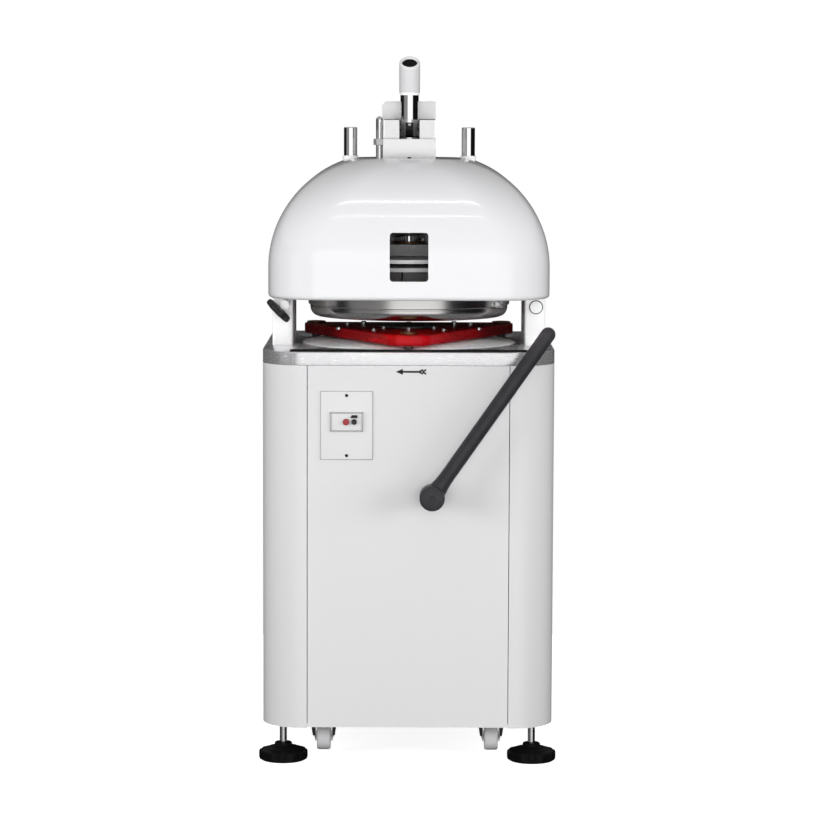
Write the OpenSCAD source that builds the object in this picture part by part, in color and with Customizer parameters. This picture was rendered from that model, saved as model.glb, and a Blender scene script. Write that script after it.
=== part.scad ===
// Bench-height bakery divider rounder: a cabinet on levelling feet carries an orbiting plate
// carrier, and two columns hold the domed head with its cell ring, knives and press stamps.
// The origin is on the floor under the press axis, +Z is up and the front faces -Y.

/* [Cabinet] */
// Width of the cabinet and of the table
cabinet_w = 620; // [612:1:640]
// Depth of the cabinet and of the table
cabinet_d = 620; // [616:1:650]
// Height of the casing's lower edge above the floor
casing_bottom = 77; // [72:1:84]
// Height of the casing from its lower to its upper edge
casing_h = 772; // [740:1:800]
// Plan radius of the two front corners
front_corner_r = 92; // [88:1:96]
// Plan radius of the two rear corners
back_corner_r = 40; // [32:1:56]
// Thickness of the casing sheet
sheet_t = 2; // [1.5:0.25:2.5]
// Open seam beside the front and rear panels
seam_gap = 1.5; // [1:0.25:2.5]
// Height of the table's folded rim
table_rim_h = 28; // [24:1:34]
// Thickness of the table's top sheet
table_t = 4; // [3:0.5:6]

/* [Feet and castors] */
// Diameter of a foot pad
foot_d = 104; // [90:1:110]
// Distance from the cabinet's sides to a foot's centre
foot_inset = 45; // [40:1:52]
// Diameter of a castor wheel
wheel_d = 60; // [54:1:64]
// Distance between the two castors
castor_span = 360; // [330:2:400]
// Distance from the cabinet's front to the castors' axles
castor_inset = 105; // [95:1:130]

/* [Orbiting carrier] */
// Radius of the orbit
orbit_r = 10; // [6:0.5:12]
// Diameter of an orbit pin
orbit_pin_d = 20; // [16:1:22]
// Thickness of the carrier plate
carrier_t = 23; // [20:1:26]
// Air between the table and the carrier
carrier_gap = 10; // [8:0.5:13]
// Radius of the circle that the plate locating pins stand on
locating_r = 115; // [90:1:125]
// Diameter of a plate locating pin
locating_d = 12; // [8:1:14]

/* [Head] */
// Width and depth of the dome
dome_w = 600; // [596:1:606]
// Height of the dome's lower edge above the table
dome_lift = 108; // [104:1:112]
// Straight height of the dome's side
dome_side_h = 65; // [60:1:72]
// Height of the dome's crown above its straight side
dome_crown_h = 229; // [220:1:240]
// Thickness of the dome's wall
dome_t = 4; // [3:0.5:5]
// Outer radius of the cell ring
ring_r = 220; // [216:1:224]
// Wall of the cell ring
ring_wall = 28; // [24:1:32]
// Height of the cell ring
ring_h = 56; // [52:1:58]
// Air between the carrier and the cell ring
ring_lift = 22; // [20:1:25]
// Thickness of the knives
knife_t = 2; // [1.5:0.25:3]
// Travel of the press stamps
press_travel = 12; // [8:1:14]
// Travel of the cell ring
ring_travel = 10; // [4:1:11]
// Diameter of the press spindle
spindle_d = 45; // [42:1:46]
// Diameter of the two guide rods
rod_d = 29; // [24:1:30]
// Distance between the guide rods
rod_span = 257; // [250:1:262]
// Place of the depth stop rod across the dome
stop_x = -65; // [-72:1:-62]

/* [Levers and controls] */
// Turn of the press lever, in degrees
press_turn = 57; // [50:1:57]
// Lean of the press lever's grip at rest, in degrees from upright
press_lean = 38; // [30:1:42]
// Length of the press lever from its pivot, measured along its bend
press_lever_l = 158; // [150:1:180]
// Length of the rounding lever between its end centres
rounding_lever_l = 418; // [380:2:430]
// Lean of the rounding lever at rest, in degrees from upright
rounding_lean = 35; // [25:1:36]
// Travel of a push button
button_travel = 3; // [2:0.5:4]
// Width of the switch plate
switch_w = 108; // [96:1:120]
// Height of the switch plate
switch_h = 143; // [130:1:156]

/* [Fits] */
// Radial play of a shaft in its bore
run_fit = 0.05; // [0.03:0.01:0.09]
// Air between moving curved faces
air = 0.3; // [0.3:0.05:0.5]

/* [Hidden] */
$fn = 64;

// Levels of the cabinet, from the floor up
casing_top = casing_bottom + casing_h;
table_z = casing_top + table_rim_h;
base_t = 8;
base_lift = 6;
base_z = casing_bottom + base_lift;
base_top = base_z + base_t;
table_under = table_z - table_t;

// Plan of the cabinet
half_w = cabinet_w / 2;
half_d = cabinet_d / 2;
panel_margin = 6;
panel_w = cabinet_w - 2 * (front_corner_r + panel_margin);
rear_margin = 20;
rear_w = cabinet_w - 2 * (back_corner_r + rear_margin);
seam_flange = 18;
panel_raise = 2;

// Welded frame, set in from the cabinet's sides
tube = 40;
tube_t = 3;
frame_inset = 52;
post_x = half_w - frame_inset;
post_y = half_d - frame_inset;
post_x_in = post_x - tube / 2;
post_x_out = post_x + tube / 2;
post_y_in = post_y - tube / 2;
post_y_out = post_y + tube / 2;
rail_top = casing_top;
rail_bottom = rail_top - tube;
front_rail_h = 50;
column_pad_d = 180;

// Feet
foot_x = half_w - foot_inset;
foot_y = half_d - foot_inset;
stem_d = 16;
stem_up = 24;
stem_room = 4;

// Columns stand inside the dome's side walls
dome_half = dome_w / 2;
column_play = 1.5;
column_out = dome_half - dome_t - column_play;
column_w = 44;
column_in = column_out - column_w;
column_d = 220;
column_t = 6;
column_corner_r = 5;

// Drive under the table
plate_t = 10;
plate_edge = 2;
plate_top = rail_bottom;
plate_bottom = plate_top - plate_t;
crank_shaft_d = 25;
crank_disc_r = 30;
disc_gap = 1;
crank_disc_bottom = rail_top + disc_gap;
crank_disc_t = 18;
housing_d = 60;
shaft_room = 3;
housing_gap = 2;
crank_front_in = 16;
crank_back_in = 119;
crank_front = post_y_in - crank_front_in;
// The rear cranks stand as far out as the frame and the columns let the housings and lobes go
carrier_edge_r = 26;
lobe_clear = 8;
crank_in_frame = post_x_in - housing_gap - housing_d / 2;
crank_in_columns = column_in - lobe_clear - orbit_r - carrier_edge_r;
crank_side = min(crank_in_frame, crank_in_columns);
crank_back = post_y_in - crank_back_in;
front_crank_at = [0, -crank_front];
left_crank_at = [-crank_side, crank_back];
right_crank_at = [crank_side, crank_back];
crank_places = [front_crank_at, left_crank_at, right_crank_at];
pulley_w = 30;
belt_w = 20;
belt_t = 5;
pulley_rim = 4;
belt_steps = 30;
pulley_drop = 37;
pulley_bottom = plate_bottom - pulley_drop;
belt_z = pulley_bottom + (pulley_w - belt_w) / 2;
driven_r = 75;
driver_r = 37.5;
motor_at = [60, 100];
motor_shaft_d = 24;
motor_shaft_l = 55;
motor_flange_w = 172;
motor_flange_t = 10;
motor_gap = 7;
motor_top = pulley_bottom - motor_gap;
hanger_d = 16;
hanger_at = motor_flange_w / 2 - hanger_d;

// Carrier
carrier_bottom = table_z + carrier_gap;
carrier_top = carrier_bottom + carrier_t;
carrier_nose = 6;
carrier_front = crank_front + carrier_nose;
carrier_front_half = 22;
pin_cover = 6;
orbit_pin_top = carrier_top - pin_cover;
pin_cap_h = 4;
locating_h = 8;
orbit_room = 3;

// Head levels, from the table up
dome_bottom = table_z + dome_lift;
dome_shoulder = dome_bottom + dome_side_h;
dome_top = dome_shoulder + dome_crown_h;
dome_corner_r = 120;
dome_arc_over = 9;
dome_arc_h = dome_crown_h + dome_arc_over;
dome_arc_base = 60;
dome_screw_y = 70;
dome_screw_up = 32;
dome_screw_d = 6;
ring_bottom = carrier_top + ring_lift;
ring_top = ring_bottom + ring_h;
ring_inner_r = ring_r - ring_wall;
knife_raise = 3;
knife_bottom = ring_bottom + knife_raise;
knife_h = ring_h - 2 * knife_raise;
stamp_bottom = knife_bottom;
stamp_room = 39;
stamp_plate_bottom = ring_top + press_travel + stamp_room;
stamp_plate_t = 8;
stamp_plate_top = stamp_plate_bottom + stamp_plate_t;
stamp_edge_play = 4;
stamp_plate_r = ring_inner_r - stamp_edge_play;
yoke_gap = 1;
yoke_bottom = stamp_plate_top + ring_travel + yoke_gap;
yoke_t = 8;
yoke_top = yoke_bottom + yoke_t;
ring_post_r = ring_r - ring_wall / 2;
ring_post_d = 14;
yoke_edge = 1;
yoke_r = ring_post_r + ring_post_d / 2 + yoke_edge;
bridge_gap = 2;
bridge_bottom = yoke_top + bridge_gap;
bridge_t = 25;
bridge_top = bridge_bottom + bridge_t;
bridge_set = 12;
bridge_half = dome_half - dome_t - bridge_set;
bridge_d = 180;
bridge_corner_r = 12;
head_post_xy = 46;
head_post_d = 20;
dome_inner_top = dome_top - dome_t;
rod_x = rod_span / 2;
rod_up = 66;
rod_top = dome_top + rod_up;
stop_d = 16;
stop_up = 90;
stop_top = dome_top + stop_up;
stop_nut_h = 14;
nut_d = 27;
stop_set = 27;
stop_nut_bottom = dome_top + stop_set;
// Radial air where a rod passes a cover, and where it passes the yoke
pass_room = 1;
yoke_room = 4;
bush_wall = 5;
rod_bush_wall = 4;

// Cells of the knife grid: equal areas in three rows
cell_counts = [4, 10, 16];
cell_total = 30;
cell_r1 = ring_inner_r * sqrt(cell_counts[0] / cell_total);
cell_r2 = ring_inner_r * sqrt((cell_counts[0] + cell_counts[1]) / cell_total);
cell_rows = [0, cell_r1, cell_r2, ring_inner_r];
stamp_play = 0.6;

// Press lever with an involute cam: a flat follower then moves evenly with the turn
pivot_y = 8;
pivot_up = 66;
pivot_z = dome_top + pivot_up;
pivot_d = 16;
cam_w = 18;
cam_start = 22;
cam_rate = press_travel / (press_turn * PI / 180);
cam_top = 10;
cam_shoulder = 24;
spindle_top = pivot_z - cam_start - air;
lever_d = 40;
grip_core_d = 38;
grip_wall = 3;
grip_bore_d = grip_core_d - 2 * grip_wall;
lever_seat = 17;
lever_foot = 19;
lever_bend = 78;
sleeve_d = 45;
sleeve_start = 71;
bracket_half = 57;
bracket_front = -70;
bracket_back = 65;
bracket_base_h = 41;
bracket_over = 16;
bracket_top = pivot_z + bracket_over;
cheek_in = 22;
cap_h = 40;
cap_front = 32;
slot_front = -52;
slot_back = 48;

// Rounding lever on the front panel
rounding_x = 50;
rounding_drop = 272;
rounding_z = casing_top - rounding_drop;
rounding_hub_d = 53;
rounding_hub_l = 50;
rounding_hub_gap = 25;
rounding_arm_d = 31;
rounding_hub_back = -half_d - rounding_hub_gap;
rounding_hub_front = rounding_hub_back - rounding_hub_l;
rounding_hub_wall = 8;
rounding_shaft_d = 20;
bush_d = 30;
bush_flange_d = 44;
bush_flange_t = 6;

// Switch
switch_x = -130;
switch_drop = 126;
switch_z = casing_top - switch_drop;
switch_t = 3;
switch_corner_r = 3;
switch_screw_d = 4;
switch_screw_z = switch_h / 2 - 2 * switch_screw_d;
bezel_w = 70;
bezel_h = 41;
bezel_t = 4;
bezel_lap = 4;
starter_w = bezel_w - 2 * bezel_lap;
starter_h = bezel_h - 2 * bezel_lap;
starter_l = 52;
starter_up = 8;
starter_z = switch_z + starter_up;
stop_button_in = 1;
stop_button_x = switch_x - stop_button_in;
start_button_in = 16;
start_button_x = switch_x + start_button_in;
stop_button_d = 14;
start_button_d = 12;
button_l = 10;
button_proud = 2;

// Inlet gland on the rear panel
gland_d = 16;
gland_bore = 9;
gland_nut_d = 24;
gland_nut_h = 8;
gland_in = 40;
gland_x = -rear_w / 2 + gland_in;
gland_up = 60;
gland_z = casing_bottom + gland_up;

// Screws and air slots of the rear panel
rear_screw_d = 4;
rear_screw_in = 12;

// Clamp knob on the left column
boss_in = 16;
boss_x = -(column_in + boss_in);
boss_drop = 19;
boss_z = dome_bottom - boss_drop;
boss_d = 20;
boss_l = 46;
boss_edge = 10;
knob_y = -column_d / 2 - boss_l + boss_edge;
knob_r = 34;
knob_t = 20;
stud_d = 8;
hole_plug_d = 26;
hole_plug_h = 5;
hole_plug_in = 24;
hole_plug_x = column_in + hole_plug_in;
hole_plug_drop = 25;
hole_plug_z = dome_bottom - hole_plug_drop;

// Castors
wheel_w = 32;
wheel_lift = 10;
castor_y = castor_inset - half_d;
castor_z = wheel_lift + wheel_d / 2;
axle_d = 8;
fork_plate = 58;
fork_plate_t = 6;
fork_cheek_t = 4;
fork_cheek_w = 26;
fork_play = 1;

// Springs: mean radius, wire diameter and number of curls
ring_wire = 5;
ring_spring_play = 2.5;
ring_spring = [rod_d / 2 + ring_spring_play + ring_wire / 2, ring_wire, 9];
press_wire = 6;
press_spring_play = 4.5;
press_spring_sizes = [spindle_d / 2 + press_spring_play + press_wire / 2, press_wire, 8];
spring_seat_h = 4;
spring_bottom = bridge_top + spring_seat_h;
spring_room = 46;
spring_top = dome_inner_top - spring_room;
collar_t = 8;
collar_lip = 1.5;

// Colours
white_paint = [0.94, 0.94, 0.94];
steel = [0.62, 0.64, 0.66];
chrome = [0.78, 0.8, 0.82];
brushed = [0.55, 0.55, 0.55];
carrier_red = [0.72, 0.04, 0.05];
black_plastic = [0.06, 0.06, 0.06];
black_steel = [0.16, 0.16, 0.17];
wheel_grey = [0.7, 0.7, 0.7];
bronze = [0.72, 0.52, 0.28];
food_white = [0.9, 0.9, 0.86];

// Plan with two front and two rear corner radii
module rounded_plan(w, d, front_r, back_r) {
    translate([-w / 2, -d / 2 + front_r]) square([w, d - front_r - back_r]);
    translate([-w / 2 + front_r, -d / 2]) square([w - 2 * front_r, d / 2]);
    translate([-w / 2 + back_r, 0]) square([w - 2 * back_r, d / 2]);
    for (side = [-1, 1]) {
        translate([side * (w / 2 - front_r), -d / 2 + front_r]) circle(r = front_r);
        translate([side * (w / 2 - back_r), d / 2 - back_r]) circle(r = back_r);
    }
}

module cabinet_plan(inset) {
    rounded_plan(
        cabinet_w - 2 * inset, cabinet_d - 2 * inset,
        front_corner_r - inset, back_corner_r - inset);
}

// Convex outline round a list of points, all corners with the same radius
module rounded_outline(points, r) {
    polygon(points);
    for (i = [0:len(points) - 1]) {
        a = points[i];
        b = points[(i + 1) % len(points)];
        out = [b[1] - a[1], a[0] - b[0]] / norm(b - a) * r;
        polygon([a + out, b + out, b - out, a - out]);
        translate(a) circle(r = r);
    }
}

module rounded_rectangle(w, h, r) {
    x = w / 2 - r;
    y = h / 2 - r;
    rounded_outline([[-x, -y], [x, -y], [x, y], [-x, y]], r);
}

// Straight cylinder along Y from one place to another
module bar_y(d, from, to) {
    translate([0, from, 0]) rotate([-90, 0, 0]) cylinder(d = d, h = to - from);
}

// Straight cylinder along X, centred
module bar_x(d, l) {
    rotate([0, 90, 0]) cylinder(d = d, h = l, center = true);
}

// Ring between two radii
module ring_plan(outer, inner) {
    difference() {
        circle(r = outer);
        circle(r = inner);
    }
}

// Screw with a round head: the head is above z = 0 and the shank below
module screw(shank_d, shank_l) {
    cylinder(d = 2 * shank_d, h = 0.65 * shank_d);
    translate([0, 0, -shank_l]) cylinder(d = shank_d, h = shank_l);
}

// Notches in the base plate, on its right side, for the returned edges of the panels and casings
module seam_notches() {
    room = 1;
    front_x = panel_w / 2 - sheet_t - room;
    translate([front_x, -half_d]) square([seam_gap + 2 * (sheet_t + room), seam_flange + room]);
    rear_x = rear_w / 2 + seam_gap - room;
    translate([rear_x, half_d - seam_flange - room]) square([sheet_t + 2 * room, seam_flange + room]);
}

// Base plate that the casings are screwed round and the feet screw into
module base_plate() {
    color(steel)
    difference() {
        translate([0, 0, base_z])
            linear_extrude(base_t)
                difference() {
                    cabinet_plan(sheet_t);
                    for (side = [0, 1]) mirror([side, 0]) seam_notches();
                }
        for (x = [-1, 1], y = [-1, 1])
            translate([x * foot_x, y * foot_y, base_z - 1])
                cylinder(r = stem_d / 2 + run_fit, h = base_t + 2);
    }
}

module square_tube(l) {
    difference() {
        translate([-tube / 2, -tube / 2, 0]) cube([tube, tube, l]);
        translate([-tube / 2 + tube_t, -tube / 2 + tube_t, -1])
            cube([tube - 2 * tube_t, tube - 2 * tube_t, l + 2]);
    }
}

// Welded frame: four posts, three top rails, a front rail and pads under the columns
module base_frame() {
    color(steel)
    difference() {
        union() {
            for (x = [-1, 1]) {
                for (y = [-1, 1])
                    difference() {
                        translate([x * post_x, y * post_y, base_top]) square_tube(table_under - base_top);
                        translate([x * foot_x, y * foot_y, base_top - 1])
                            cylinder(r = stem_d / 2 + stem_room, h = stem_up + stem_d);
                    }
                translate([x * post_x - tube / 2, -post_y_in, rail_bottom]) cube([tube, 2 * post_y_in, tube]);
                translate([x * post_x - tube / 2, -column_pad_d / 2, rail_top])
                    cube([tube, column_pad_d, table_under - rail_top]);
            }
            translate([-post_x_in, post_y_in, rail_bottom]) cube([2 * post_x_in, tube, tube]);
            translate([-post_x_in, -post_y_out, rounding_z - front_rail_h / 2])
                cube([2 * post_x_in, tube, front_rail_h]);
        }
        translate([rounding_x, 0, rounding_z]) bar_y(bush_d, -post_y_out - 1, -post_y_in + 1);
    }
}

// Flat front panel with returned edges, cut out for the switch and the lever bush
module front_panel() {
    color(white_paint)
    difference() {
        translate([0, -half_d, casing_bottom + panel_raise])
            linear_extrude(casing_h - panel_raise) {
                translate([-panel_w / 2, 0]) square([panel_w, sheet_t]);
                for (x = [-panel_w / 2, panel_w / 2 - sheet_t])
                    translate([x, 0]) square([sheet_t, seam_flange]);
            }
        translate([rounding_x, 0, rounding_z]) bar_y(bush_d, -half_d - 1, -half_d + sheet_t + 1);
        translate([switch_x - starter_w / 2, -half_d - 1, starter_z - starter_h / 2])
            cube([starter_w, sheet_t + 2, starter_h]);
        for (z = [-switch_screw_z, switch_screw_z])
            translate([switch_x, 0, switch_z + z])
                bar_y(switch_screw_d, -half_d - 1, -half_d + sheet_t + 1);
    }
}

// Side casing: wraps the front corner, the side and the rear corner
module side_casing() {
    front_edge = panel_w / 2 + seam_gap;
    rear_edge = rear_w / 2 + seam_gap;
    translate([0, 0, casing_bottom])
    linear_extrude(casing_h) {
        intersection() {
            difference() {
                cabinet_plan(0);
                cabinet_plan(sheet_t);
            }
            union() {
                translate([front_edge, -half_d]) square([half_w, half_d]);
                translate([rear_edge, 0]) square([half_w, half_d]);
            }
        }
        translate([front_edge, -half_d]) square([sheet_t, seam_flange]);
        translate([rear_edge, half_d - seam_flange]) square([sheet_t, seam_flange]);
    }
}

module left_casing() {
    color(white_paint) mirror([1, 0, 0]) side_casing();
}

module right_casing() {
    color(white_paint) side_casing();
}

// Rear panel with a field of air slots for the motor
module rear_panel() {
    slot_w = 260;
    slot_h = 6;
    slot_step = 18;
    slot_count = 12;
    slot_up = 300;
    color(white_paint)
    difference() {
        translate([-rear_w / 2, half_d - sheet_t, casing_bottom + panel_raise])
            cube([rear_w, sheet_t, casing_h - panel_raise]);
        for (i = [0:slot_count - 1])
            translate([-slot_w / 2, half_d - sheet_t - 1, casing_bottom + slot_up + i * slot_step])
                cube([slot_w, sheet_t + 2, slot_h]);
        rear_screw_places() translate([0, 0, -sheet_t - 1]) cylinder(d = rear_screw_d, h = sheet_t + 2);
        translate([gland_x, 0, gland_z]) bar_y(gland_d, half_d - sheet_t - 1, half_d + 1);
    }
}

// Places of the rear panel's screws, with local +Z pointing out of the panel
module rear_screw_places() {
    for (x = [-1, 1], z = [panel_raise + rear_screw_in, casing_h / 2, casing_h - rear_screw_in])
        translate([x * (rear_w / 2 - rear_screw_in), half_d, casing_bottom + z])
            rotate([-90, 0, 0]) children();
}

// Folded stainless table with clearance holes for the three orbit pins
module table_top() {
    hole_r = orbit_r + orbit_pin_d / 2 + orbit_room;
    rim_t = sheet_t + 0.5;
    color(steel)
    difference() {
        translate([0, 0, casing_top]) linear_extrude(table_rim_h) cabinet_plan(0);
        translate([0, 0, casing_top - 1]) linear_extrude(table_rim_h - table_t + 1) cabinet_plan(rim_t);
        for (p = crank_places)
            translate([p[0], p[1], table_under - 1]) cylinder(r = hole_r, h = table_t + 2);
    }
}

// Plate under the side rails, with four hangers for the motor
module drive_plate() {
    color(black_steel)
    difference() {
        union() {
            translate([-post_x_out, plate_edge - post_y_in, plate_bottom])
                cube([2 * post_x_out, 2 * (post_y_in - plate_edge), plate_t]);
            for (x = [-1, 1], y = [-1, 1])
                translate([motor_at[0] + x * hanger_at, motor_at[1] + y * hanger_at, motor_top])
                    cylinder(d = hanger_d, h = plate_bottom - motor_top);
        }
        for (p = crank_places)
            translate([p[0], p[1], plate_bottom - 1])
                cylinder(r = crank_shaft_d / 2 + shaft_room, h = plate_t + 2);
    }
}

// Three flanged housings with the crank bearings
module bearing_housings() {
    color(brushed)
    for (p = crank_places)
        translate([p[0], p[1], plate_top])
            difference() {
                cylinder(d = housing_d, h = tube);
                translate([0, 0, -1]) cylinder(r = crank_shaft_d / 2 + run_fit, h = tube + 2);
            }
}

// Flange motor with its fan cowl and terminal box
module drive_motor() {
    body_d = 150;
    body_h = 220;
    cowl_d = 140;
    cowl_h = 50;
    box = [90, 45, 80];
    box_y = 60;
    box_drop = 70;
    shaft_room_l = motor_shaft_l + 5;
    color(black_steel)
    translate([motor_at[0], motor_at[1], motor_top])
        difference() {
            union() {
                translate([-motor_flange_w / 2, -motor_flange_w / 2, -motor_flange_t])
                    cube([motor_flange_w, motor_flange_w, motor_flange_t]);
                translate([0, 0, -motor_flange_t - body_h]) cylinder(d = body_d, h = body_h);
                translate([0, 0, -motor_flange_t - body_h - cowl_h]) cylinder(d = cowl_d, h = cowl_h);
                translate([-box[0] / 2, box_y, -box_drop - box[2]]) cube(box);
            }
            translate([0, 0, -shaft_room_l]) cylinder(r = motor_shaft_d / 2 + run_fit, h = shaft_room_l + 1);
        }
}

// Points of an arc, from one angle to another
function arc_points(centre, r, from, to, steps) =
    [for (i = [0:steps])
        let (angle = from + (to - from) * i / steps)
        centre + r * [cos(angle), sin(angle)]];

// Outline of a belt round two pulleys, between the outer tangents of two circles
module belt_outline(grow) {
    along = motor_at - left_crank_at;
    heading = atan2(along[1], along[0]);
    tangent = acos((driven_r - driver_r) / norm(along));
    polygon(concat(
        arc_points(left_crank_at, driven_r + grow, heading + tangent, heading + 360 - tangent, belt_steps),
        arc_points(motor_at, driver_r + grow, heading - tangent, heading + tangent, belt_steps)));
}

module drive_belt() {
    color(black_plastic)
    translate([0, 0, belt_z])
        linear_extrude(belt_w)
            difference() {
                belt_outline(air + belt_t);
                belt_outline(air);
            }
}

// Flanged bush of the rounding lever, through the panel and the front rail
module rounding_bush() {
    color(bronze)
    translate([rounding_x, 0, rounding_z])
        difference() {
            union() {
                bar_y(bush_flange_d, -half_d - bush_flange_t, -half_d);
                bar_y(bush_d, -half_d, -post_y_in);
            }
            bar_y(rounding_shaft_d + 2 * run_fit, -half_d - bush_flange_t - 1, -post_y_in + 1);
        }
}

// Off-white plate that carries the switch
module switch_plate() {
    color(food_white)
    difference() {
        translate([switch_x, -half_d, switch_z])
            rotate([90, 0, 0]) linear_extrude(switch_t) rounded_rectangle(switch_w, switch_h, switch_corner_r);
        translate([switch_x - starter_w / 2, -half_d - switch_t - 1, starter_z - starter_h / 2])
            cube([starter_w, switch_t + 2, starter_h]);
        for (z = [-switch_screw_z, switch_screw_z])
            translate([switch_x, 0, switch_z + z])
                bar_y(switch_screw_d, -half_d - switch_t - 1, -half_d + 1);
    }
}

// Starter behind the plate, with its bezel and two button wells
module switch_body() {
    face = -half_d - switch_t;
    well_back = face - bezel_t + button_l + button_travel + 1;
    color(black_plastic)
    difference() {
        union() {
            translate([switch_x, face, starter_z])
                rotate([90, 0, 0]) linear_extrude(bezel_t) rounded_rectangle(bezel_w, bezel_h, bezel_lap);
            translate([switch_x - starter_w / 2, face, starter_z - starter_h / 2])
                cube([starter_w, starter_l, starter_h]);
        }
        translate([stop_button_x, 0, starter_z])
            bar_y(stop_button_d + 2 * air, face - bezel_t - 1, well_back);
        translate([start_button_x, 0, starter_z])
            bar_y(start_button_d + 2 * air, face - bezel_t - 1, well_back);
    }
}

// Inlet gland for the supply lead, low on the rear panel
module cable_gland() {
    inside = half_d - sheet_t;
    color(black_plastic)
    translate([gland_x, 0, gland_z])
        difference() {
            union() {
                bar_y(gland_d, inside - gland_nut_h, half_d);
                bar_y(gland_nut_d, half_d, half_d + 1.5 * gland_nut_h);
                bar_y(gland_nut_d, inside - gland_nut_h, inside);
                bar_y(gland_d + 2, half_d + 1.5 * gland_nut_h, half_d + 2.5 * gland_nut_h);
            }
            bar_y(gland_bore, inside - gland_nut_h - 1, half_d + 2.5 * gland_nut_h + 1);
        }
}

// Screws of the switch plate, the rear panel and the dome
module cover_screws() {
    color(chrome) {
        for (z = [-switch_screw_z, switch_screw_z])
            translate([switch_x, -half_d - switch_t, switch_z + z])
                rotate([90, 0, 0]) screw(switch_screw_d, switch_t + sheet_t);
        rear_screw_places() screw(rear_screw_d, sheet_t);
        dome_screw_places() screw(dome_screw_d, dome_t);
    }
}

// Places of the screws that hold the dome to the columns
module dome_screw_places() {
    for (x = [-1, 1], y = [-dome_screw_y, dome_screw_y])
        translate([x * dome_half, y, dome_bottom + dome_screw_up])
            rotate([0, x * 90, 0]) children();
}

// Two castor forks with their axles
module castor_forks() {
    fork_top = base_z - fork_plate_t;
    cheek_x = wheel_w / 2 + fork_play;
    color(black_steel)
    for (x = [-1, 1])
        translate([x * castor_span / 2, castor_y, 0]) {
            translate([-fork_plate / 2, -fork_plate / 2, fork_top])
                cube([fork_plate, fork_plate, fork_plate_t]);
            for (side = [-1, 1])
                translate([side * (cheek_x + fork_cheek_t / 2), 0, 0]) {
                    translate([-fork_cheek_t / 2, -fork_cheek_w / 2, castor_z])
                        cube([fork_cheek_t, fork_cheek_w, fork_top - castor_z]);
                    translate([0, 0, castor_z]) bar_x(fork_cheek_w, fork_cheek_t);
                }
            translate([0, 0, castor_z]) bar_x(axle_d, 2 * (cheek_x + fork_cheek_t));
        }
}

// Hollow column standing on the table and carrying one end of the bridge
module column() {
    mid = (column_in + column_out) / 2;
    translate([mid, 0, table_z])
        difference() {
            linear_extrude(bridge_bottom - table_z) rounded_rectangle(column_w, column_d, column_corner_r);
            translate([-column_w / 2 + column_t, -column_d / 2 + column_t, -1])
                cube([
                    column_w - 2 * column_t, column_d - 2 * column_t,
                    bridge_bottom - table_z - column_t - 1]);
        }
}

module left_column() {
    color(white_paint)
    difference() {
        union() {
            mirror([1, 0, 0]) column_with_screw_holes();
            translate([boss_x, 0, boss_z]) bar_y(boss_d, -column_d / 2 - boss_l, -column_d / 2);
        }
        knob_frame() translate([0, 0, -boss_d]) cylinder(r = stud_d / 2 + run_fit, h = 2 * boss_d);
    }
}

module right_column() {
    color(white_paint) {
        column_with_screw_holes();
        translate([hole_plug_x, 0, hole_plug_z])
            bar_y(hole_plug_d, -column_d / 2 - hole_plug_h, -column_d / 2);
    }
}

// Right-hand column with the spacers and holes that take the dome's screws
module column_with_screw_holes() {
    difference() {
        union() {
            column();
            for (y = [-dome_screw_y, dome_screw_y])
                translate([column_out, y, dome_bottom + dome_screw_up])
                    rotate([0, 90, 0]) cylinder(d = 3 * dome_screw_d, h = column_play);
        }
        for (y = [-dome_screw_y, dome_screw_y])
            translate([column_out - column_t - 1, y, dome_bottom + dome_screw_up])
                rotate([0, 90, 0]) cylinder(d = dome_screw_d, h = column_t + column_play + 2);
    }
}

// Casting across both columns that guides the spindle and the rods
module head_bridge() {
    color(brushed)
    translate([0, 0, bridge_bottom])
        difference() {
            linear_extrude(bridge_t) rounded_rectangle(2 * bridge_half, bridge_d, bridge_corner_r);
            translate([0, 0, -1]) cylinder(r = spindle_d / 2 + bush_wall, h = bridge_t + 2);
            for (x = [-rod_x, rod_x])
                translate([x, 0, -1]) cylinder(r = rod_d / 2 + rod_bush_wall, h = bridge_t + 2);
            translate([stop_x, 0, -1]) cylinder(r = stop_d / 2 + pass_room, h = bridge_t + 2);
        }
}

// Bronze bushes in the bridge for the spindle and both rods, each with a seat for its spring
module guide_bushes() {
    color(bronze)
    translate([0, 0, bridge_bottom]) {
        guide_bush(spindle_d, bush_wall, press_spring_sizes);
        for (x = [-rod_x, rod_x]) translate([x, 0, 0]) guide_bush(rod_d, rod_bush_wall, ring_spring);
    }
}

module guide_bush(inner_d, wall, spring) {
    difference() {
        union() {
            cylinder(r = inner_d / 2 + wall, h = bridge_t);
            translate([0, 0, bridge_t]) cylinder(r = collar_r(spring), h = spring_seat_h);
        }
        translate([0, 0, -1]) cylinder(r = inner_d / 2 + run_fit, h = bridge_t + spring_seat_h + 2);
    }
}

// Radius of the seat or collar that holds a spring's end
function collar_r(spring) = spring[0] + spring[1] / 2 + collar_lip;

// Four posts from the bridge to the underside of the dome's crown
module head_posts() {
    color(steel)
    for (x = [-1, 1], y = [-1, 1])
        translate([x * head_post_xy, y * head_post_xy, bridge_top])
            cylinder(d = head_post_d, h = dome_inner_top - bridge_top);
}

// Half width of the dome at a height: straight below the shoulder, an elliptic arc above it
function dome_reach(z) =
    z <= dome_shoulder ? dome_half :
    dome_arc_base + (dome_half - dome_arc_base) * sqrt(1 - pow((z - dome_shoulder) / dome_arc_h, 2));

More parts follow.
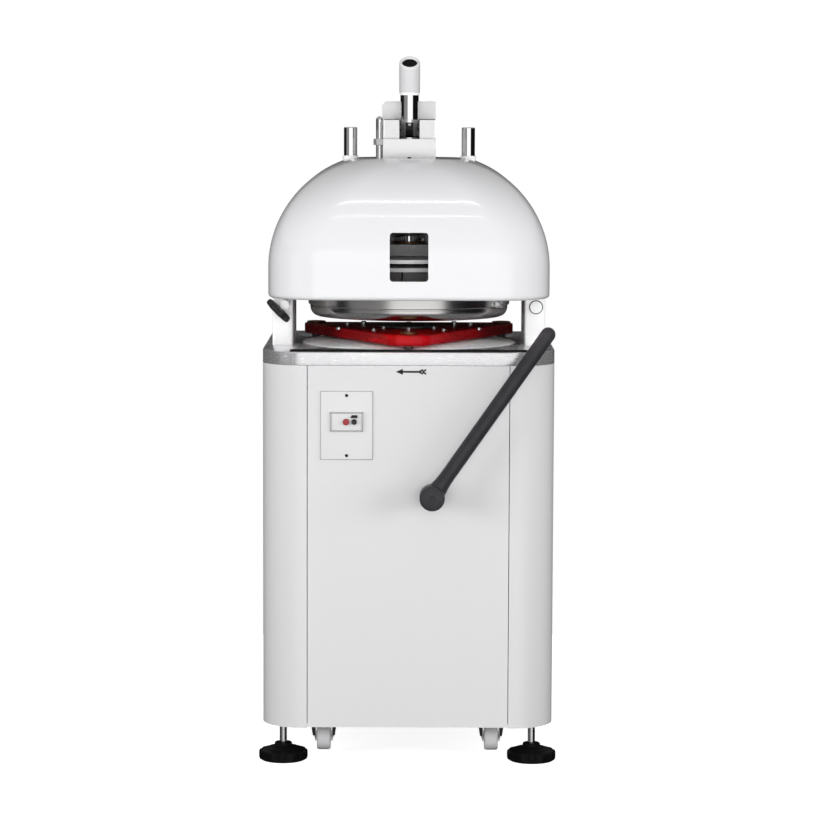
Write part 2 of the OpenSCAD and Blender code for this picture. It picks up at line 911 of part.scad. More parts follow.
// One level of the dome: a square with round corners, as a ring of points
dome_corner_steps = 10;
function dome_level(reach, z) =
    let (r = min(dome_corner_r, reach - 1))
    [for (q = [0:3], i = [0:dome_corner_steps])
        let (a = q * 90 + i * 90 / dome_corner_steps)
        let (cx = (q == 0 || q == 3) ? reach - r : r - reach)
        let (cy = q < 2 ? reach - r : r - reach)
        [cx + r * cos(a), cy + r * sin(a), z]];

// Closed body through a stack of equal rings of points
module stacked_rings(rings) {
    n = len(rings[0]);
    m = len(rings);
    points = [for (ring = rings) each ring];
    sides = [for (j = [0:m - 2], i = [0:n - 1])
        let (k = (i + 1) % n)
        each [[j * n + i, (j + 1) * n + i, (j + 1) * n + k], [j * n + i, (j + 1) * n + k, j * n + k]]];
    bottom = [[for (i = [0:n - 1]) i]];
    top = [[for (i = [0:n - 1]) m * n - 1 - i]];
    polyhedron(points, concat(sides, bottom, top), convexity = 4);
}

// Levels of the dome, closer together towards the crown
dome_steps = 14;
dome_lip = [[0, -5], [2, -2], [6, 0]];
dome_levels = concat(
    [for (step = dome_lip) [dome_bottom + step[0], step[1]]],
    [for (i = [0:dome_steps]) [dome_shoulder + dome_crown_h * sin(90 * i / dome_steps), 0]]);

module dome_body(inset) {
    stacked_rings([for (level = dome_levels)
        dome_level(dome_reach(level[0]) + level[1] - inset, level[0])]);
}

// Glossy dome: a shell with a window in front and holes for the rods and the spindle
module dome_cover() {
    window_w = 81;
    window_h = 102;
    window_r = 7;
    window_up = 40;
    lip_room = dome_lip[2][0] + 2;
    hole_l = 90;
    hole_z = dome_top - hole_l / 2;
    color(white_paint)
    difference() {
        dome_body(0);
        difference() {
            translate([0, 0, -0.01]) dome_body(dome_t);
            translate([-dome_half, -dome_half, dome_inner_top]) cube([dome_w, dome_w, 2 * dome_t]);
        }
        translate([0, 0, dome_bottom - 1])
            linear_extrude(lip_room) rounded_plan(dome_w - 2 * dome_t, dome_w - 2 * dome_t,
                dome_corner_r - dome_t, dome_corner_r - dome_t);
        translate([0, -dome_half / 2, dome_bottom + window_up + window_h / 2])
            rotate([90, 0, 0]) linear_extrude(dome_half) rounded_rectangle(window_w, window_h, window_r);
        for (x = [-rod_x, rod_x])
            translate([x, 0, hole_z]) cylinder(r = rod_d / 2 + pass_room, h = hole_l);
        translate([stop_x, 0, hole_z]) cylinder(r = stop_d / 2 + pass_room, h = hole_l);
        translate([0, 0, hole_z]) cylinder(r = spindle_d / 2 + pass_room, h = hole_l);
        dome_screw_places() translate([0, 0, -dome_t - 1]) cylinder(d = dome_screw_d, h = dome_t + 2);
    }
}

// Bracket on the crown: a block with the spindle's bore and two cheeks for the lever's pivot
module lever_bracket() {
    depth = bracket_back - bracket_front;
    slot_room = 4;
    slot_floor = pivot_z - cam_start - press_travel - slot_room;
    tier_side = 3;
    tier_front = 12;
    nut_room = 1.5;
    color(white_paint)
    difference() {
        union() {
            translate([-bracket_half, bracket_front, dome_top])
                cube([2 * bracket_half, depth, bracket_base_h]);
            translate([tier_side - bracket_half, bracket_front + tier_front, dome_top + bracket_base_h])
                cube([
                    2 * (bracket_half - tier_side), depth - tier_front,
                    bracket_top - dome_top - bracket_base_h]);
        }
        translate([0, 0, dome_top - 1]) cylinder(r = spindle_d / 2 + pass_room, h = pivot_z - dome_top);
        translate([-cheek_in, slot_front, slot_floor])
            cube([2 * cheek_in, slot_back - slot_front, bracket_top]);
        translate([-cheek_in, bracket_front - 1, dome_top + bracket_base_h])
            cube([2 * cheek_in, depth, bracket_top]);
        translate([0, pivot_y, pivot_z]) bar_x(pivot_d + 2 * run_fit, 2 * bracket_half + 2);
        translate([stop_x, 0, dome_top - 1]) cylinder(r = nut_d / 2 + nut_room, h = bracket_top);
    }
}

// Cap behind the lever, with its left edge chamfered
module bracket_cap() {
    chamfer = 8;
    overhang = 3;
    left = -bracket_half - overhang;
    color(white_paint)
    translate([0, bracket_back, bracket_top])
        rotate([90, 0, 0])
            linear_extrude(bracket_back - cap_front)
                polygon([
                    [left, 0], [bracket_half, 0], [bracket_half, cap_h],
                    [left + chamfer, cap_h], [left, cap_h - chamfer]]);
}

// Wire wound into a helix with closed flat ends, as one unbroken tube
spring_sides = 6;
spring_rings = 8;
function helix_point(size, h, t) =
    let (turn = t * size[2] * 360)
    [size[0] * cos(turn), size[0] * sin(turn), size[1] / 2 + t * (h - size[1])];

module helix(size, h) {
    count = size[2] * spring_rings;
    rings = [for (j = [0:count])
        let (t = j / count)
        let (p = helix_point(size, h, t))
        let (turn = t * size[2] * 360)
        [for (i = [0:spring_sides - 1])
            let (a = 30 + i * 360 / spring_sides)
            p + size[1] / 2 * (cos(a) * [cos(turn), sin(turn), 0] + sin(a) * [0, 0, 1])]];
    stacked_rings_wound(rings);
}

// Closed tube through rings of points that go round a helix
module stacked_rings_wound(rings) {
    n = len(rings[0]);
    m = len(rings);
    points = [for (ring = rings) each ring];
    sides = [for (j = [0:m - 2], i = [0:n - 1])
        let (k = (i + 1) % n)
        each [[j * n + i, (j + 1) * n + k, (j + 1) * n + i], [j * n + i, j * n + k, (j + 1) * n + k]]];
    start = [for (i = [1:n - 2]) [0, i + 1, i]];
    end = [for (i = [1:n - 2]) [(m - 1) * n, (m - 1) * n + i, (m - 1) * n + i + 1]];
    polyhedron(points, concat(sides, start, end), convexity = 10);
}

// Least gap between the curls of a spring, measured on the points of its centre line
function curl_gap(size, h) =
    let (count = size[2] * spring_rings)
    let (points = [for (j = [0:count]) helix_point(size, h, j / count)])
    let (apart = spring_rings - 1)
    min([for (i = [0:count - apart], j = [i + apart:count]) norm(points[j] - points[i])]) - size[1];
echo(ring_spring_gap = curl_gap(ring_spring, spring_top - spring_bottom));
echo(press_spring_gap = curl_gap(press_spring_sizes, spring_top - spring_bottom));

// Springs round the guide rods that lift the cell ring
module ring_springs() {
    color(steel)
    for (x = [-rod_x, rod_x])
        translate([x, 0, spring_bottom]) helix(ring_spring, spring_top - spring_bottom);
}

// Spring round the spindle that lifts the press stamps
module press_spring() {
    color(steel)
    translate([0, 0, spring_bottom]) helix(press_spring_sizes, spring_top - spring_bottom);
}

// Cell ring: a rounded lower lip, a groove and a straight upper band
module cell_ring() {
    lip_r = 18;
    lip_steps = 8;
    lip_in = 4;
    groove_in = 7;
    groove_low = 25;
    groove_high = 28;
    lip = [for (i = [0:lip_steps])
        let (a = -90 + i * 90 / lip_steps)
        [ring_r - lip_in - lip_r + lip_r * cos(a), lip_r + lip_r * sin(a)]];
    color(brushed)
    translate([0, 0, ring_bottom])
        rotate_extrude()
            polygon(concat(
                [[ring_inner_r, 0]], lip,
                [[ring_r - lip_in, groove_low], [ring_r - groove_in, groove_low],
                 [ring_r - groove_in, groove_high], [ring_r, groove_high],
                 [ring_r, ring_h], [ring_inner_r, ring_h]]));
}

// Plan of the knives, or of the room that the stamps leave round them
module knife_plan(t) {
    for (r = [cell_r1, cell_r2]) ring_plan(r + t / 2, r - t / 2);
    for (row = [0:2], i = [0:cell_counts[row] - 1])
        rotate(i * 360 / cell_counts[row] + row * 9)
            translate([max(cell_rows[row] - 0.5, 0), -t / 2])
                square([cell_rows[row + 1] - max(cell_rows[row] - 0.5, 0), t]);
}

module knife_grid() {
    color(steel)
    translate([0, 0, knife_bottom])
        linear_extrude(knife_h)
            intersection() {
                circle(r = ring_inner_r);
                knife_plan(knife_t);
            }
}

// Places of the four ring posts
module ring_post_places() {
    for (a = [45:90:315]) rotate(a) translate([ring_post_r, 0, 0]) children();
}

module ring_posts() {
    color(steel)
    ring_post_places()
        translate([0, 0, ring_top]) cylinder(d = ring_post_d, h = yoke_bottom - ring_top);
}

// Yoke that hangs the cell ring on the guide rods
module ring_yoke() {
    color(steel)
    translate([0, 0, yoke_bottom])
        difference() {
            cylinder(r = yoke_r, h = yoke_t);
            translate([0, 0, -1]) cylinder(r = spindle_d / 2 + yoke_room, h = yoke_t + 2);
            translate([stop_x, 0, -1]) cylinder(r = stop_d / 2 + yoke_room, h = yoke_t + 2);
            for (x = [-rod_x, rod_x]) translate([x, 0, -1]) cylinder(d = rod_d, h = yoke_t + 2);
        }
}

// Chrome guide rods, each with a collar for its spring
module guide_rods() {
    color(chrome)
    for (x = [-rod_x, rod_x])
        translate([x, 0, 0]) {
            translate([0, 0, yoke_bottom]) cylinder(d = rod_d, h = rod_top - yoke_bottom);
            translate([0, 0, spring_top]) cylinder(r = collar_r(ring_spring), h = collar_t);
        }
}

module stamp_plate() {
    color(steel)
    translate([0, 0, stamp_plate_bottom])
        cylinder(r = stamp_plate_r, h = stamp_plate_t);
}

// Thirty stamps, one for each cell
module press_stamps() {
    color(food_white)
    translate([0, 0, stamp_bottom])
        linear_extrude(stamp_plate_bottom - stamp_bottom)
            difference() {
                circle(r = stamp_plate_r);
                knife_plan(knife_t + 2 * stamp_play);
            }
}

// Press spindle with a shoulder for its spring
module press_spindle() {
    color(chrome) {
        translate([0, 0, stamp_plate_top]) cylinder(d = spindle_d, h = spindle_top - stamp_plate_top);
        translate([0, 0, spring_top]) cylinder(r = collar_r(press_spring_sizes), h = collar_t);
    }
}

// Depth stop rod with a rounded end
module stop_rod() {
    color(chrome)
    translate([stop_x, 0, 0]) {
        translate([0, 0, stamp_plate_top]) cylinder(d = stop_d, h = stop_top - stop_d / 2 - stamp_plate_top);
        translate([0, 0, stop_top - stop_d / 2]) sphere(d = stop_d);
    }
}

// Hexagon nut that limits the press depth when it is screwed down towards the crown
module stop_nut() {
    color(chrome)
    translate([stop_x, 0, stop_nut_bottom])
        difference() {
            cylinder(d = nut_d, h = stop_nut_h, $fn = 6);
            translate([0, 0, -1]) cylinder(d = stop_d, h = stop_nut_h + 2);
        }
}

// Point of the involute cam for a turn in degrees, in the plane of Y and Z
function cam_point(turn) =
    let (h = cam_start + cam_rate * turn * PI / 180)
    [-h * sin(turn) - cam_rate * cos(turn), -h * cos(turn) + cam_rate * sin(turn)];

// Cam on a round root with its pivot, made from one piece, with a flat for the lever
module lever_cam() {
    over = 7;
    steps = 14;
    pin_in = 5;
    first = -over;
    last = press_turn + over;
    profile = [for (i = [0:steps]) cam_point(first + (last - first) * i / steps)];
    color(chrome)
    translate([0, pivot_y, pivot_z]) {
        translate([0, 0, -lever_foot]) cylinder(d = lever_d, h = lever_foot + lever_seat);
        rotate([90, 0, 90]) translate([0, 0, -cam_w / 2])
            linear_extrude(cam_w)
                polygon(concat([[0, cam_top]], profile, [[-cam_shoulder, cam_top]]));
        bar_x(pivot_d, 2 * (bracket_half - pin_in));
    }
}

// Frame of the press lever's upright part: +Z runs along it from its pivot
module press_frame() {
    translate([0, pivot_y, pivot_z]) children();
}

// Frame of the press lever's grip: +Z runs along it from the bend
module grip_frame() {
    press_frame() translate([0, 0, lever_bend]) rotate([press_lean, 0, 0]) children();
}

// Leaning bar of the grip up to a length along the lever, cut level on the lever's shoulder
module grip_bar(d, last) {
    intersection() {
        grip_frame() translate([0, 0, -d]) cylinder(d = d, h = last - lever_bend + d);
        press_frame() translate([-d, -press_lever_l, sleeve_start])
            cube([2 * d, 2 * press_lever_l, press_lever_l]);
    }
}

// Chrome lever: an upright bar seated on the cam's flat, with the bored grip bar welded on
module press_lever() {
    bore_start = 14;
    setback = 2;
    color(chrome)
    difference() {
        union() {
            press_frame() translate([0, 0, lever_seat])
                cylinder(d = lever_d, h = sleeve_start - lever_seat);
            grip_bar(grip_core_d, press_lever_l - setback);
        }
        grip_frame() translate([0, 0, bore_start]) cylinder(d = grip_bore_d, h = press_lever_l);
    }
}

module lever_sleeve() {
    color(white_paint)
    difference() {
        grip_bar(sleeve_d, press_lever_l);
        grip_frame() translate([0, 0, -sleeve_d])
            cylinder(d = grip_core_d, h = press_lever_l + sleeve_d);
    }
}

module lever_plug() {
    plug_l = 15;
    proud = 1;
    color(black_plastic)
    grip_frame()
        translate([0, 0, press_lever_l - lever_bend + proud - plug_l])
            cylinder(d = grip_bore_d, h = plug_l);
}

// Shaft of the rounding lever with the trip arm on its inner end
module rounding_shaft() {
    arm_gap = 6;
    arm_t = 16;
    arm_w = 18;
    arm_l = 70;
    arm_hub_d = 40;
    arm_y = -post_y_in + arm_gap;
    color(steel)
    translate([rounding_x, 0, rounding_z]) {
        bar_y(rounding_shaft_d, rounding_hub_front + rounding_hub_wall, arm_y + arm_t);
        bar_y(arm_hub_d, arm_y, arm_y + arm_t);
        translate([-arm_w / 2, arm_y, -arm_l]) cube([arm_w, arm_t, arm_l - rounding_shaft_d / 2]);
    }
}

// Black rounding lever: a hub, a round arm and a round end
module rounding_lever() {
    mid = (rounding_hub_front + rounding_hub_back) / 2;
    color(black_plastic)
    translate([rounding_x, 0, rounding_z])
        difference() {
            union() {
                bar_y(rounding_hub_d, rounding_hub_front, rounding_hub_back);
                translate([0, mid, 0])
                    rotate([0, rounding_lean, 0]) {
                        cylinder(d = rounding_arm_d, h = rounding_lever_l);
                        translate([0, 0, rounding_lever_l]) sphere(d = rounding_arm_d);
                    }
            }
            bar_y(rounding_shaft_d, rounding_hub_front + rounding_hub_wall, rounding_hub_back + 1);
        }
}

// Crank: a shaft, a disc under the table and an orbit pin, at rest towards the front
module crank(at, shaft_bottom) {
    translate([at[0], at[1], 0]) {
        translate([0, 0, shaft_bottom])
            cylinder(d = crank_shaft_d, h = crank_disc_bottom - shaft_bottom);
        translate([0, 0, crank_disc_bottom]) cylinder(r = crank_disc_r, h = crank_disc_t);
        translate([0, -orbit_r, crank_disc_bottom + crank_disc_t])
            cylinder(d = orbit_pin_d, h = orbit_pin_top - crank_disc_bottom - crank_disc_t);
    }
}

module front_crank() {
    color(steel) crank(front_crank_at, plate_bottom);
}

module left_crank() {
    color(steel) crank(left_crank_at, pulley_bottom);
}

module right_crank() {
    color(steel) crank(right_crank_at, plate_bottom);
}

// Flanged pulley for the flat belt
module pulley(r, bore_d) {
    belt_side = 1;
    rim = (pulley_w - belt_w) / 2 - belt_side;
    difference() {
        union() {
            cylinder(r = r, h = pulley_w);
            cylinder(r = r + pulley_rim, h = rim);
            translate([0, 0, pulley_w - rim]) cylinder(r = r + pulley_rim, h = rim);
        }
        translate([0, 0, -1]) cylinder(d = bore_d, h = pulley_w + 2);
    }
}

module driven_pulley() {
    color(brushed)
    translate([left_crank_at[0], left_crank_at[1], pulley_bottom]) pulley(driven_r, crank_shaft_d);
}

// Motor pulley, made in one piece with the rotor's shaft
module motor_pulley() {
    color(brushed)
    translate([motor_at[0], motor_at[1], 0]) {
        translate([0, 0, pulley_bottom]) pulley(driver_r, motor_shaft_d - 1);
        translate([0, 0, motor_top - motor_shaft_l])
            cylinder(d = motor_shaft_d, h = pulley_bottom + pulley_w - motor_top + motor_shaft_l);
    }
}

// Centre of the carrier at rest
carrier_y = -orbit_r;

// Three-cornered carrier with a blind bore for each orbit pin
module orbit_carrier() {
    outline = [
        [-carrier_front_half, carrier_y - carrier_front], [carrier_front_half, carrier_y - carrier_front],
        [right_crank_at[0], right_crank_at[1] + carrier_y], [left_crank_at[0], left_crank_at[1] + carrier_y]];
    color(carrier_red)
    difference() {
        translate([0, 0, carrier_bottom])
            linear_extrude(carrier_t) rounded_outline(outline, carrier_edge_r);
        pin_bore(front_crank_at, air);
        pin_bore(left_crank_at, run_fit);
        pin_bore(right_crank_at, air);
    }
}

// Bore in the carrier for one orbit pin
module pin_bore(at, play) {
    end_play = 1;
    translate([at[0], at[1] + carrier_y, carrier_bottom - 1])
        cylinder(r = orbit_pin_d / 2 + play, h = orbit_pin_top + end_play + 1 - carrier_bottom);
}

// Cap rings over the three pins
module carrier_caps() {
    cap_edge = 5;
    cap_rim = 6;
    color(bronze)
    for (p = crank_places)
        translate([p[0], p[1] + carrier_y, carrier_top])
            difference() {
                cylinder(r = carrier_edge_r - cap_edge, h = pin_cap_h);
                translate([0, 0, 1]) cylinder(r = carrier_edge_r - cap_edge - cap_rim, h = pin_cap_h);
            }
}

// Pins that locate the dough plate
module locating_pins() {
    color(steel)
    for (a = [30, 150, 270])
        translate([locating_r * cos(a), carrier_y + locating_r * sin(a), carrier_top])
            cylinder(d = locating_d, h = locating_h);
}

// Frame of the clamp knob: +Z runs out of the boss, down to the left
module knob_frame() {
    translate([boss_x, knob_y, boss_z]) rotate([0, -135, 0]) children();
}

// Lobed clamp knob with its stud moulded in
module clamp_knob() {
    lobes = 7;
    lobe_r = 7;
    lobe_in = 4;
    stud_end = 6;
    seat = boss_d / 2 + 1;
    color(black_plastic)
    knob_frame() {
        translate([0, 0, seat])
            linear_extrude(knob_t) {
                circle(r = knob_r - lobe_in);
                for (i = [0:lobes - 1])
                    rotate(i * 360 / lobes) translate([knob_r - lobe_r, 0]) circle(r = lobe_r);
            }
        translate([0, 0, -boss_d / 2 - stud_end]) cylinder(d = stud_d, h = boss_d / 2 + stud_end + seat + 1);
    }
}

// Push button in the starter, with its face proud of the bezel
module button(x, z, d) {
    face = -half_d - switch_t - bezel_t;
    translate([x, 0, z]) bar_y(d, face - button_travel - button_proud, face + button_l);
}

module stop_button() {
    color(carrier_red) button(stop_button_x, starter_z, stop_button_d);
}

module start_button() {
    color(black_plastic) button(start_button_x, starter_z, start_button_d);
}

module wheel(x) {
    translate([x, castor_y, castor_z])
        difference() {
            bar_x(wheel_d, wheel_w);
            bar_x(axle_d + 2 * run_fit, wheel_w + 2);
        }
}

module left_wheel() {
    color(wheel_grey) wheel(-castor_span / 2);
}

module right_wheel() {
    color(wheel_grey) wheel(castor_span / 2);
}

// Levelling foot: a moulded pad with a threaded stem
module foot(x, y) {
    pad_h = 46;
    socket = 30;
    floor_in = 11;
    rim_low = 8;
    rim_high = 22;
    step_in = 8;
    step_z = 29;
    neck_r = 19;
    neck_z = 37;
    translate([x * foot_x, y * foot_y, 0]) {
        difference() {
            rotate_extrude()
                polygon([
                    [0, 0], [foot_d / 2 - floor_in, 0], [foot_d / 2, rim_low], [foot_d / 2, rim_high],
                    [foot_d / 2 - step_in, step_z], [neck_r, neck_z], [neck_r - 1, pad_h], [0, pad_h]]);
            translate([0, 0, socket]) cylinder(d = stem_d, h = pad_h);
        }
        translate([0, 0, socket]) cylinder(d = stem_d, h = base_top + stem_up - socket);
    }
}

module front_left_foot() {
    color(black_plastic) foot(-1, -1);
}

module front_right_foot() {
    color(black_plastic) foot(1, -1);
}

module rear_left_foot() {
    color(black_plastic) foot(-1, 1);
}

module rear_right_foot() {
    color(black_plastic) foot(1, 1);
}

base_plate();
base_frame();
front_panel();
left_casing();
right_casing();
rear_panel();
table_top();
drive_plate();
bearing_housings();
drive_motor();
drive_belt();
rounding_bush();
switch_plate();
switch_body();
cable_gland();
cover_screws();
castor_forks();
left_column();
right_column();
head_bridge();
guide_bushes();
head_posts();
dome_cover();
lever_bracket();
bracket_cap();
ring_springs();
press_spring();
cell_ring();
knife_grid();
ring_posts();
ring_yoke();
guide_rods();
stamp_plate();
press_stamps();
press_spindle();
stop_rod();
stop_nut();
lever_cam();
press_lever();
lever_sleeve();
lever_plug();
rounding_shaft();
rounding_lever();
front_crank();
left_crank();
right_crank();
driven_pulley();
motor_pulley();
orbit_carrier();
carrier_caps();
locating_pins();
clamp_knob();
stop_button();
start_button();
left_wheel();
right_wheel();
front_left_foot();
front_right_foot();
rear_left_foot();
rear_right_foot();
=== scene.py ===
import math

import bpy
from mathutils import Matrix, Vector


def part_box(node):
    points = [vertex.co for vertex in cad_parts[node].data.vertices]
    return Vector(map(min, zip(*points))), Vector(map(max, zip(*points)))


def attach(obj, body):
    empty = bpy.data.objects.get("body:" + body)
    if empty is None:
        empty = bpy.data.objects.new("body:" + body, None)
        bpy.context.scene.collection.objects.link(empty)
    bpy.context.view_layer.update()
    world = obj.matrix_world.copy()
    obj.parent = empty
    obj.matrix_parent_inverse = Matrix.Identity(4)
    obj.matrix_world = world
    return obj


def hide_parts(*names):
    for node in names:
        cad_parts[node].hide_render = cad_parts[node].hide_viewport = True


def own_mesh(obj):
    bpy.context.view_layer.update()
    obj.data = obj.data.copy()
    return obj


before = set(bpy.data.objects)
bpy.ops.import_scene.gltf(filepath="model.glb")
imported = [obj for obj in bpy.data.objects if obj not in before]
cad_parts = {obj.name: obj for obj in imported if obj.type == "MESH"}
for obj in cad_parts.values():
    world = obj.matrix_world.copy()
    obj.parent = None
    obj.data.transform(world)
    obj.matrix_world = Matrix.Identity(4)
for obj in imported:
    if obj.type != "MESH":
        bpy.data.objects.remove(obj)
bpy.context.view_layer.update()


# ---- Base plate, welded frame and drive plate ------------------------------------------------
# A square-tube frame on a steel base plate, with a thick plate that hangs under the table.
# Mild steel, welded and sprayed grey; it shows only from below and through the rear slots.

def node(tree, kind, values=None):
    """A new shader node with the given constants on its inputs."""
    made = tree.nodes.new("ShaderNode" + kind)
    for socket, value in (values or {}).items():
        made.inputs[socket].default_value = value
    return made


def wire(tree, *pairs):
    """Links from outputs to inputs."""
    for source, target in pairs:
        tree.links.new(source, target)


def finish(name, colour, rough, metal=0.0, shade=0.05, patch=5.0, grain=(1, 1, 1),
           fine=300.0, depth=0.00002, coat=0.0, spread=0.2, shine=0.5):
    """Paint, metal or plastic: broad tone patches, uneven gloss and a fine raised grain."""
    made = bpy.data.materials.new(name)
    made.use_nodes = True
    tree = made.node_tree
    skin_node = tree.nodes["Principled BSDF"]
    for socket, value in (("Metallic", metal), ("Specular IOR Level", shine),
                          ("Coat Weight", coat), ("Coat Roughness", 0.05)):
        skin_node.inputs[socket].default_value = value
    place = node(tree, "TexCoord")
    stretch = node(tree, "Mapping", {"Scale": grain})
    clouds = node(tree, "TexNoise", {"Scale": patch, "Detail": 3.0})
    grit = node(tree, "TexNoise", {"Scale": fine, "Detail": 2.0})
    half = node(tree, "Math", {1: 0.5})
    half.operation = "MULTIPLY"
    blend = node(tree, "Math", {1: 0.5})
    blend.operation = "MULTIPLY_ADD"
    tone = node(tree, "Mix")
    tone.data_type = "RGBA"
    tone.inputs[6].default_value = [c * (1 - shade) for c in colour] + [1.0]
    tone.inputs[7].default_value = [min(1.0, c * (1 + shade)) for c in colour] + [1.0]
    gloss = node(tree, "MapRange", {"From Min": 0.3, "From Max": 0.7,
                                    "To Min": rough * (1 - spread),
                                    "To Max": rough * (1 + spread)})
    raised = node(tree, "Bump", {"Distance": depth})
    wire(tree, (place.outputs["Object"], stretch.inputs["Vector"]),
         (place.outputs["Object"], clouds.inputs["Vector"]),
         (stretch.outputs["Vector"], grit.inputs["Vector"]),
         (grit.outputs["Fac"], blend.inputs[0]), (clouds.outputs["Fac"], half.inputs[0]),
         (half.outputs["Value"], blend.inputs[2]), (blend.outputs["Value"], tone.inputs[0]),
         (tone.outputs[2], skin_node.inputs["Base Color"]),
         (grit.outputs["Fac"], gloss.inputs["Value"]),
         (gloss.outputs["Result"], skin_node.inputs["Roughness"]),
         (grit.outputs["Fac"], raised.inputs["Height"]),
         (raised.outputs["Normal"], skin_node.inputs["Normal"]))
    return made


def dress(material, *names):
    """Give CAD pieces that stay as they are a better finish through their material slots."""
    for name in names:
        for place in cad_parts[name].material_slots:
            place.material = material


frame_grey = finish("frame_grey", (0.32, 0.33, 0.34), 0.5, shade=0.15, fine=500, depth=0.00005)
dress(frame_grey, "base_plate", "base_frame", "drive_plate")


# ---- Levelling feet --------------------------------------------------------------------------
# Moulded black pads with a notched rim, each on a bright threaded stem that is screwed up
# through the base plate, so that the machine can be set level.

def hold(piece):
    """Select one piece alone and make it the active one."""
    bpy.ops.object.select_all(action="DESELECT")
    piece.select_set(True)
    bpy.context.view_layer.objects.active = piece
    return piece


def smooth(piece, angle=35):
    """Smooth shading over the soft edges, with the corners kept crisp."""
    hold(piece)
    bpy.ops.object.shade_smooth_by_angle(angle=math.radians(angle))
    return piece


def outward(piece, merge=0.0, flat=0.0):
    """Turn every face of a piece outward, after merging close points and level faces."""
    hold(piece)
    bpy.ops.object.mode_set(mode="EDIT")
    bpy.ops.mesh.select_all(action="SELECT")
    if merge:
        bpy.ops.mesh.remove_doubles(threshold=merge)
    if flat:
        bpy.ops.mesh.dissolve_limited(angle_limit=math.radians(flat))
    bpy.ops.mesh.normals_make_consistent(inside=False)
    bpy.ops.object.mode_set(mode="OBJECT")
    return piece


def facing(way):
    """The turn that takes an upright piece to point along a way."""
    return Vector((0, 0, 1)).rotation_difference(Vector(way)).to_matrix().to_4x4()


def near(angle, bearing, reach):
    """Whether an angle lies within reach of a bearing, all the way round."""
    return abs((angle - bearing + math.pi) % (2 * math.pi) - math.pi) < reach


def turned(name, steps, at=(0, 0, 0), towards=(0, 0, 1), sides=64, closed=False):
    """A lathe piece: a circle drawn out along its axis through steps of (radius, height)."""
    bpy.ops.object.select_all(action="DESELECT")
    radius, height = steps[0]
    bpy.ops.mesh.primitive_circle_add(vertices=sides, radius=radius,
                                      fill_type="NOTHING" if closed else "NGON",
                                      location=(0, 0, height))
    piece = bpy.context.object
    piece.name = name
    bpy.ops.object.transform_apply(location=True, rotation=False, scale=False)
    bpy.ops.object.mode_set(mode="EDIT")
    bpy.ops.mesh.select_all(action="SELECT")
    for new_radius, new_height in steps[1:] + (steps[:1] if closed else []):
        bpy.ops.mesh.extrude_region_move(
            TRANSFORM_OT_translate={"value": (0, 0, new_height - height)})
        growth = new_radius / radius
        bpy.ops.transform.resize(value=(growth, growth, 1), center_override=(0, 0, new_height))
        radius, height = new_radius, new_height
    bpy.ops.object.mode_set(mode="OBJECT")
    outward(piece, 1e-6)
    piece.data.transform(Matrix.Translation(at) @ facing(towards))
    return smooth(piece)


def choose(piece, kind, rule):
    """Open a mesh for editing, with only the points or edges selected that a rule chooses."""
    hold(piece)
    bpy.ops.object.mode_set(mode="EDIT")
    bpy.ops.mesh.select_mode(type=kind)
    bpy.ops.mesh.select_all(action="DESELECT")
    bpy.ops.object.mode_set(mode="OBJECT")
    for item in piece.data.vertices if kind == "VERT" else piece.data.edges:
        item.select = rule(item)
    bpy.ops.object.mode_set(mode="EDIT")


def pull(piece, chosen, move=(0, 0, 0), grow=(1, 1, 1), centre=(0, 0, 0)):
    """Take hold of the points that a rule chooses and shift or scale them."""
    choose(piece, "VERT", lambda point: chosen(point.co))
    bpy.ops.transform.resize(value=grow, center_override=centre)
    bpy.ops.transform.translate(value=move)
    bpy.ops.object.mode_set(mode="OBJECT")


def placed(name, data):
    """A new object of the given data, in the scene."""
    made = bpy.data.objects.new(name, data)
    bpy.context.collection.objects.link(made)
    return made


def twin(piece, name, move):
    """Another of the same piece, with a mesh of its own, set down at its own place."""
    copy = placed(name, piece.data.copy())
    copy.data.transform(Matrix.Translation(move))
    return copy


def join(name, *parts):
    """One piece out of several that are welded, glued or moulded together."""
    bpy.ops.object.select_all(action="DESELECT")
    for part in parts:
        part.select_set(True)
    bpy.context.view_layer.objects.active = parts[0]
    bpy.ops.object.join()
    parts[0].name = name
    return parts[0]


def fit(piece, material, body, slot, *nodes):
    """Finish a piece and fix it to the body that carries it, with its solids; the slot is not used.
    """
    piece.data.materials.clear()
    piece.data.materials.append(material)
    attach(piece, body)
    if nodes:
        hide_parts(*nodes)
    return piece


pad_black = finish("pad_black", (0.004, 0.004, 0.0043), 0.45, shade=0.3, fine=600, depth=0.00006,
                   shine=0.08)
bright_steel = finish("bright_steel", (0.74, 0.74, 0.75), 0.16, metal=1.0, shade=0.04,
                      grain=(1, 1, 14), fine=120)
foot_in = 0.265
hands = ((-1, "left"), (1, "right"))
foot_pad = turned("foot_pad", [(0.041, 0), (0.046, 0.001), (0.051, 0.004), (0.052, 0.008),
                               (0.052, 0.019), (0.050, 0.0225), (0.043, 0.0245), (0.036, 0.0255),
                               (0.033, 0.0280), (0.026, 0.0300), (0.020, 0.0315), (0.0185, 0.0330),
                               (0.0185, 0.0370), (0.017, 0.0385), (0.009, 0.0385)], sides=72)
for notch in range(12):
    bearing = math.radians(30 * notch + 15)
    pull(foot_pad, lambda co, b=bearing: 0.007 < co.z < 0.023 and co.xy.length > 0.04
         and near(math.atan2(co.y, co.x), b, 0.11),
         grow=(0.955, 0.955, 1), centre=(0, 0, 0.015))
smooth(foot_pad, 25)
crest, root, pitch = 0.0080, 0.0072, 0.002
thread = [(0.0077, 0.036)]
for turn in range(22):
    thread += [(crest, 0.0390 + pitch * turn), (crest, 0.0395 + pitch * turn),
               (root, 0.0400 + pitch * turn), (root, 0.0405 + pitch * turn)]
foot_stem = turned("foot_stem", thread + [(0.0078, 0.085), (0.0078, 0.1138), (0.0066, 0.115)],
                   sides=24)
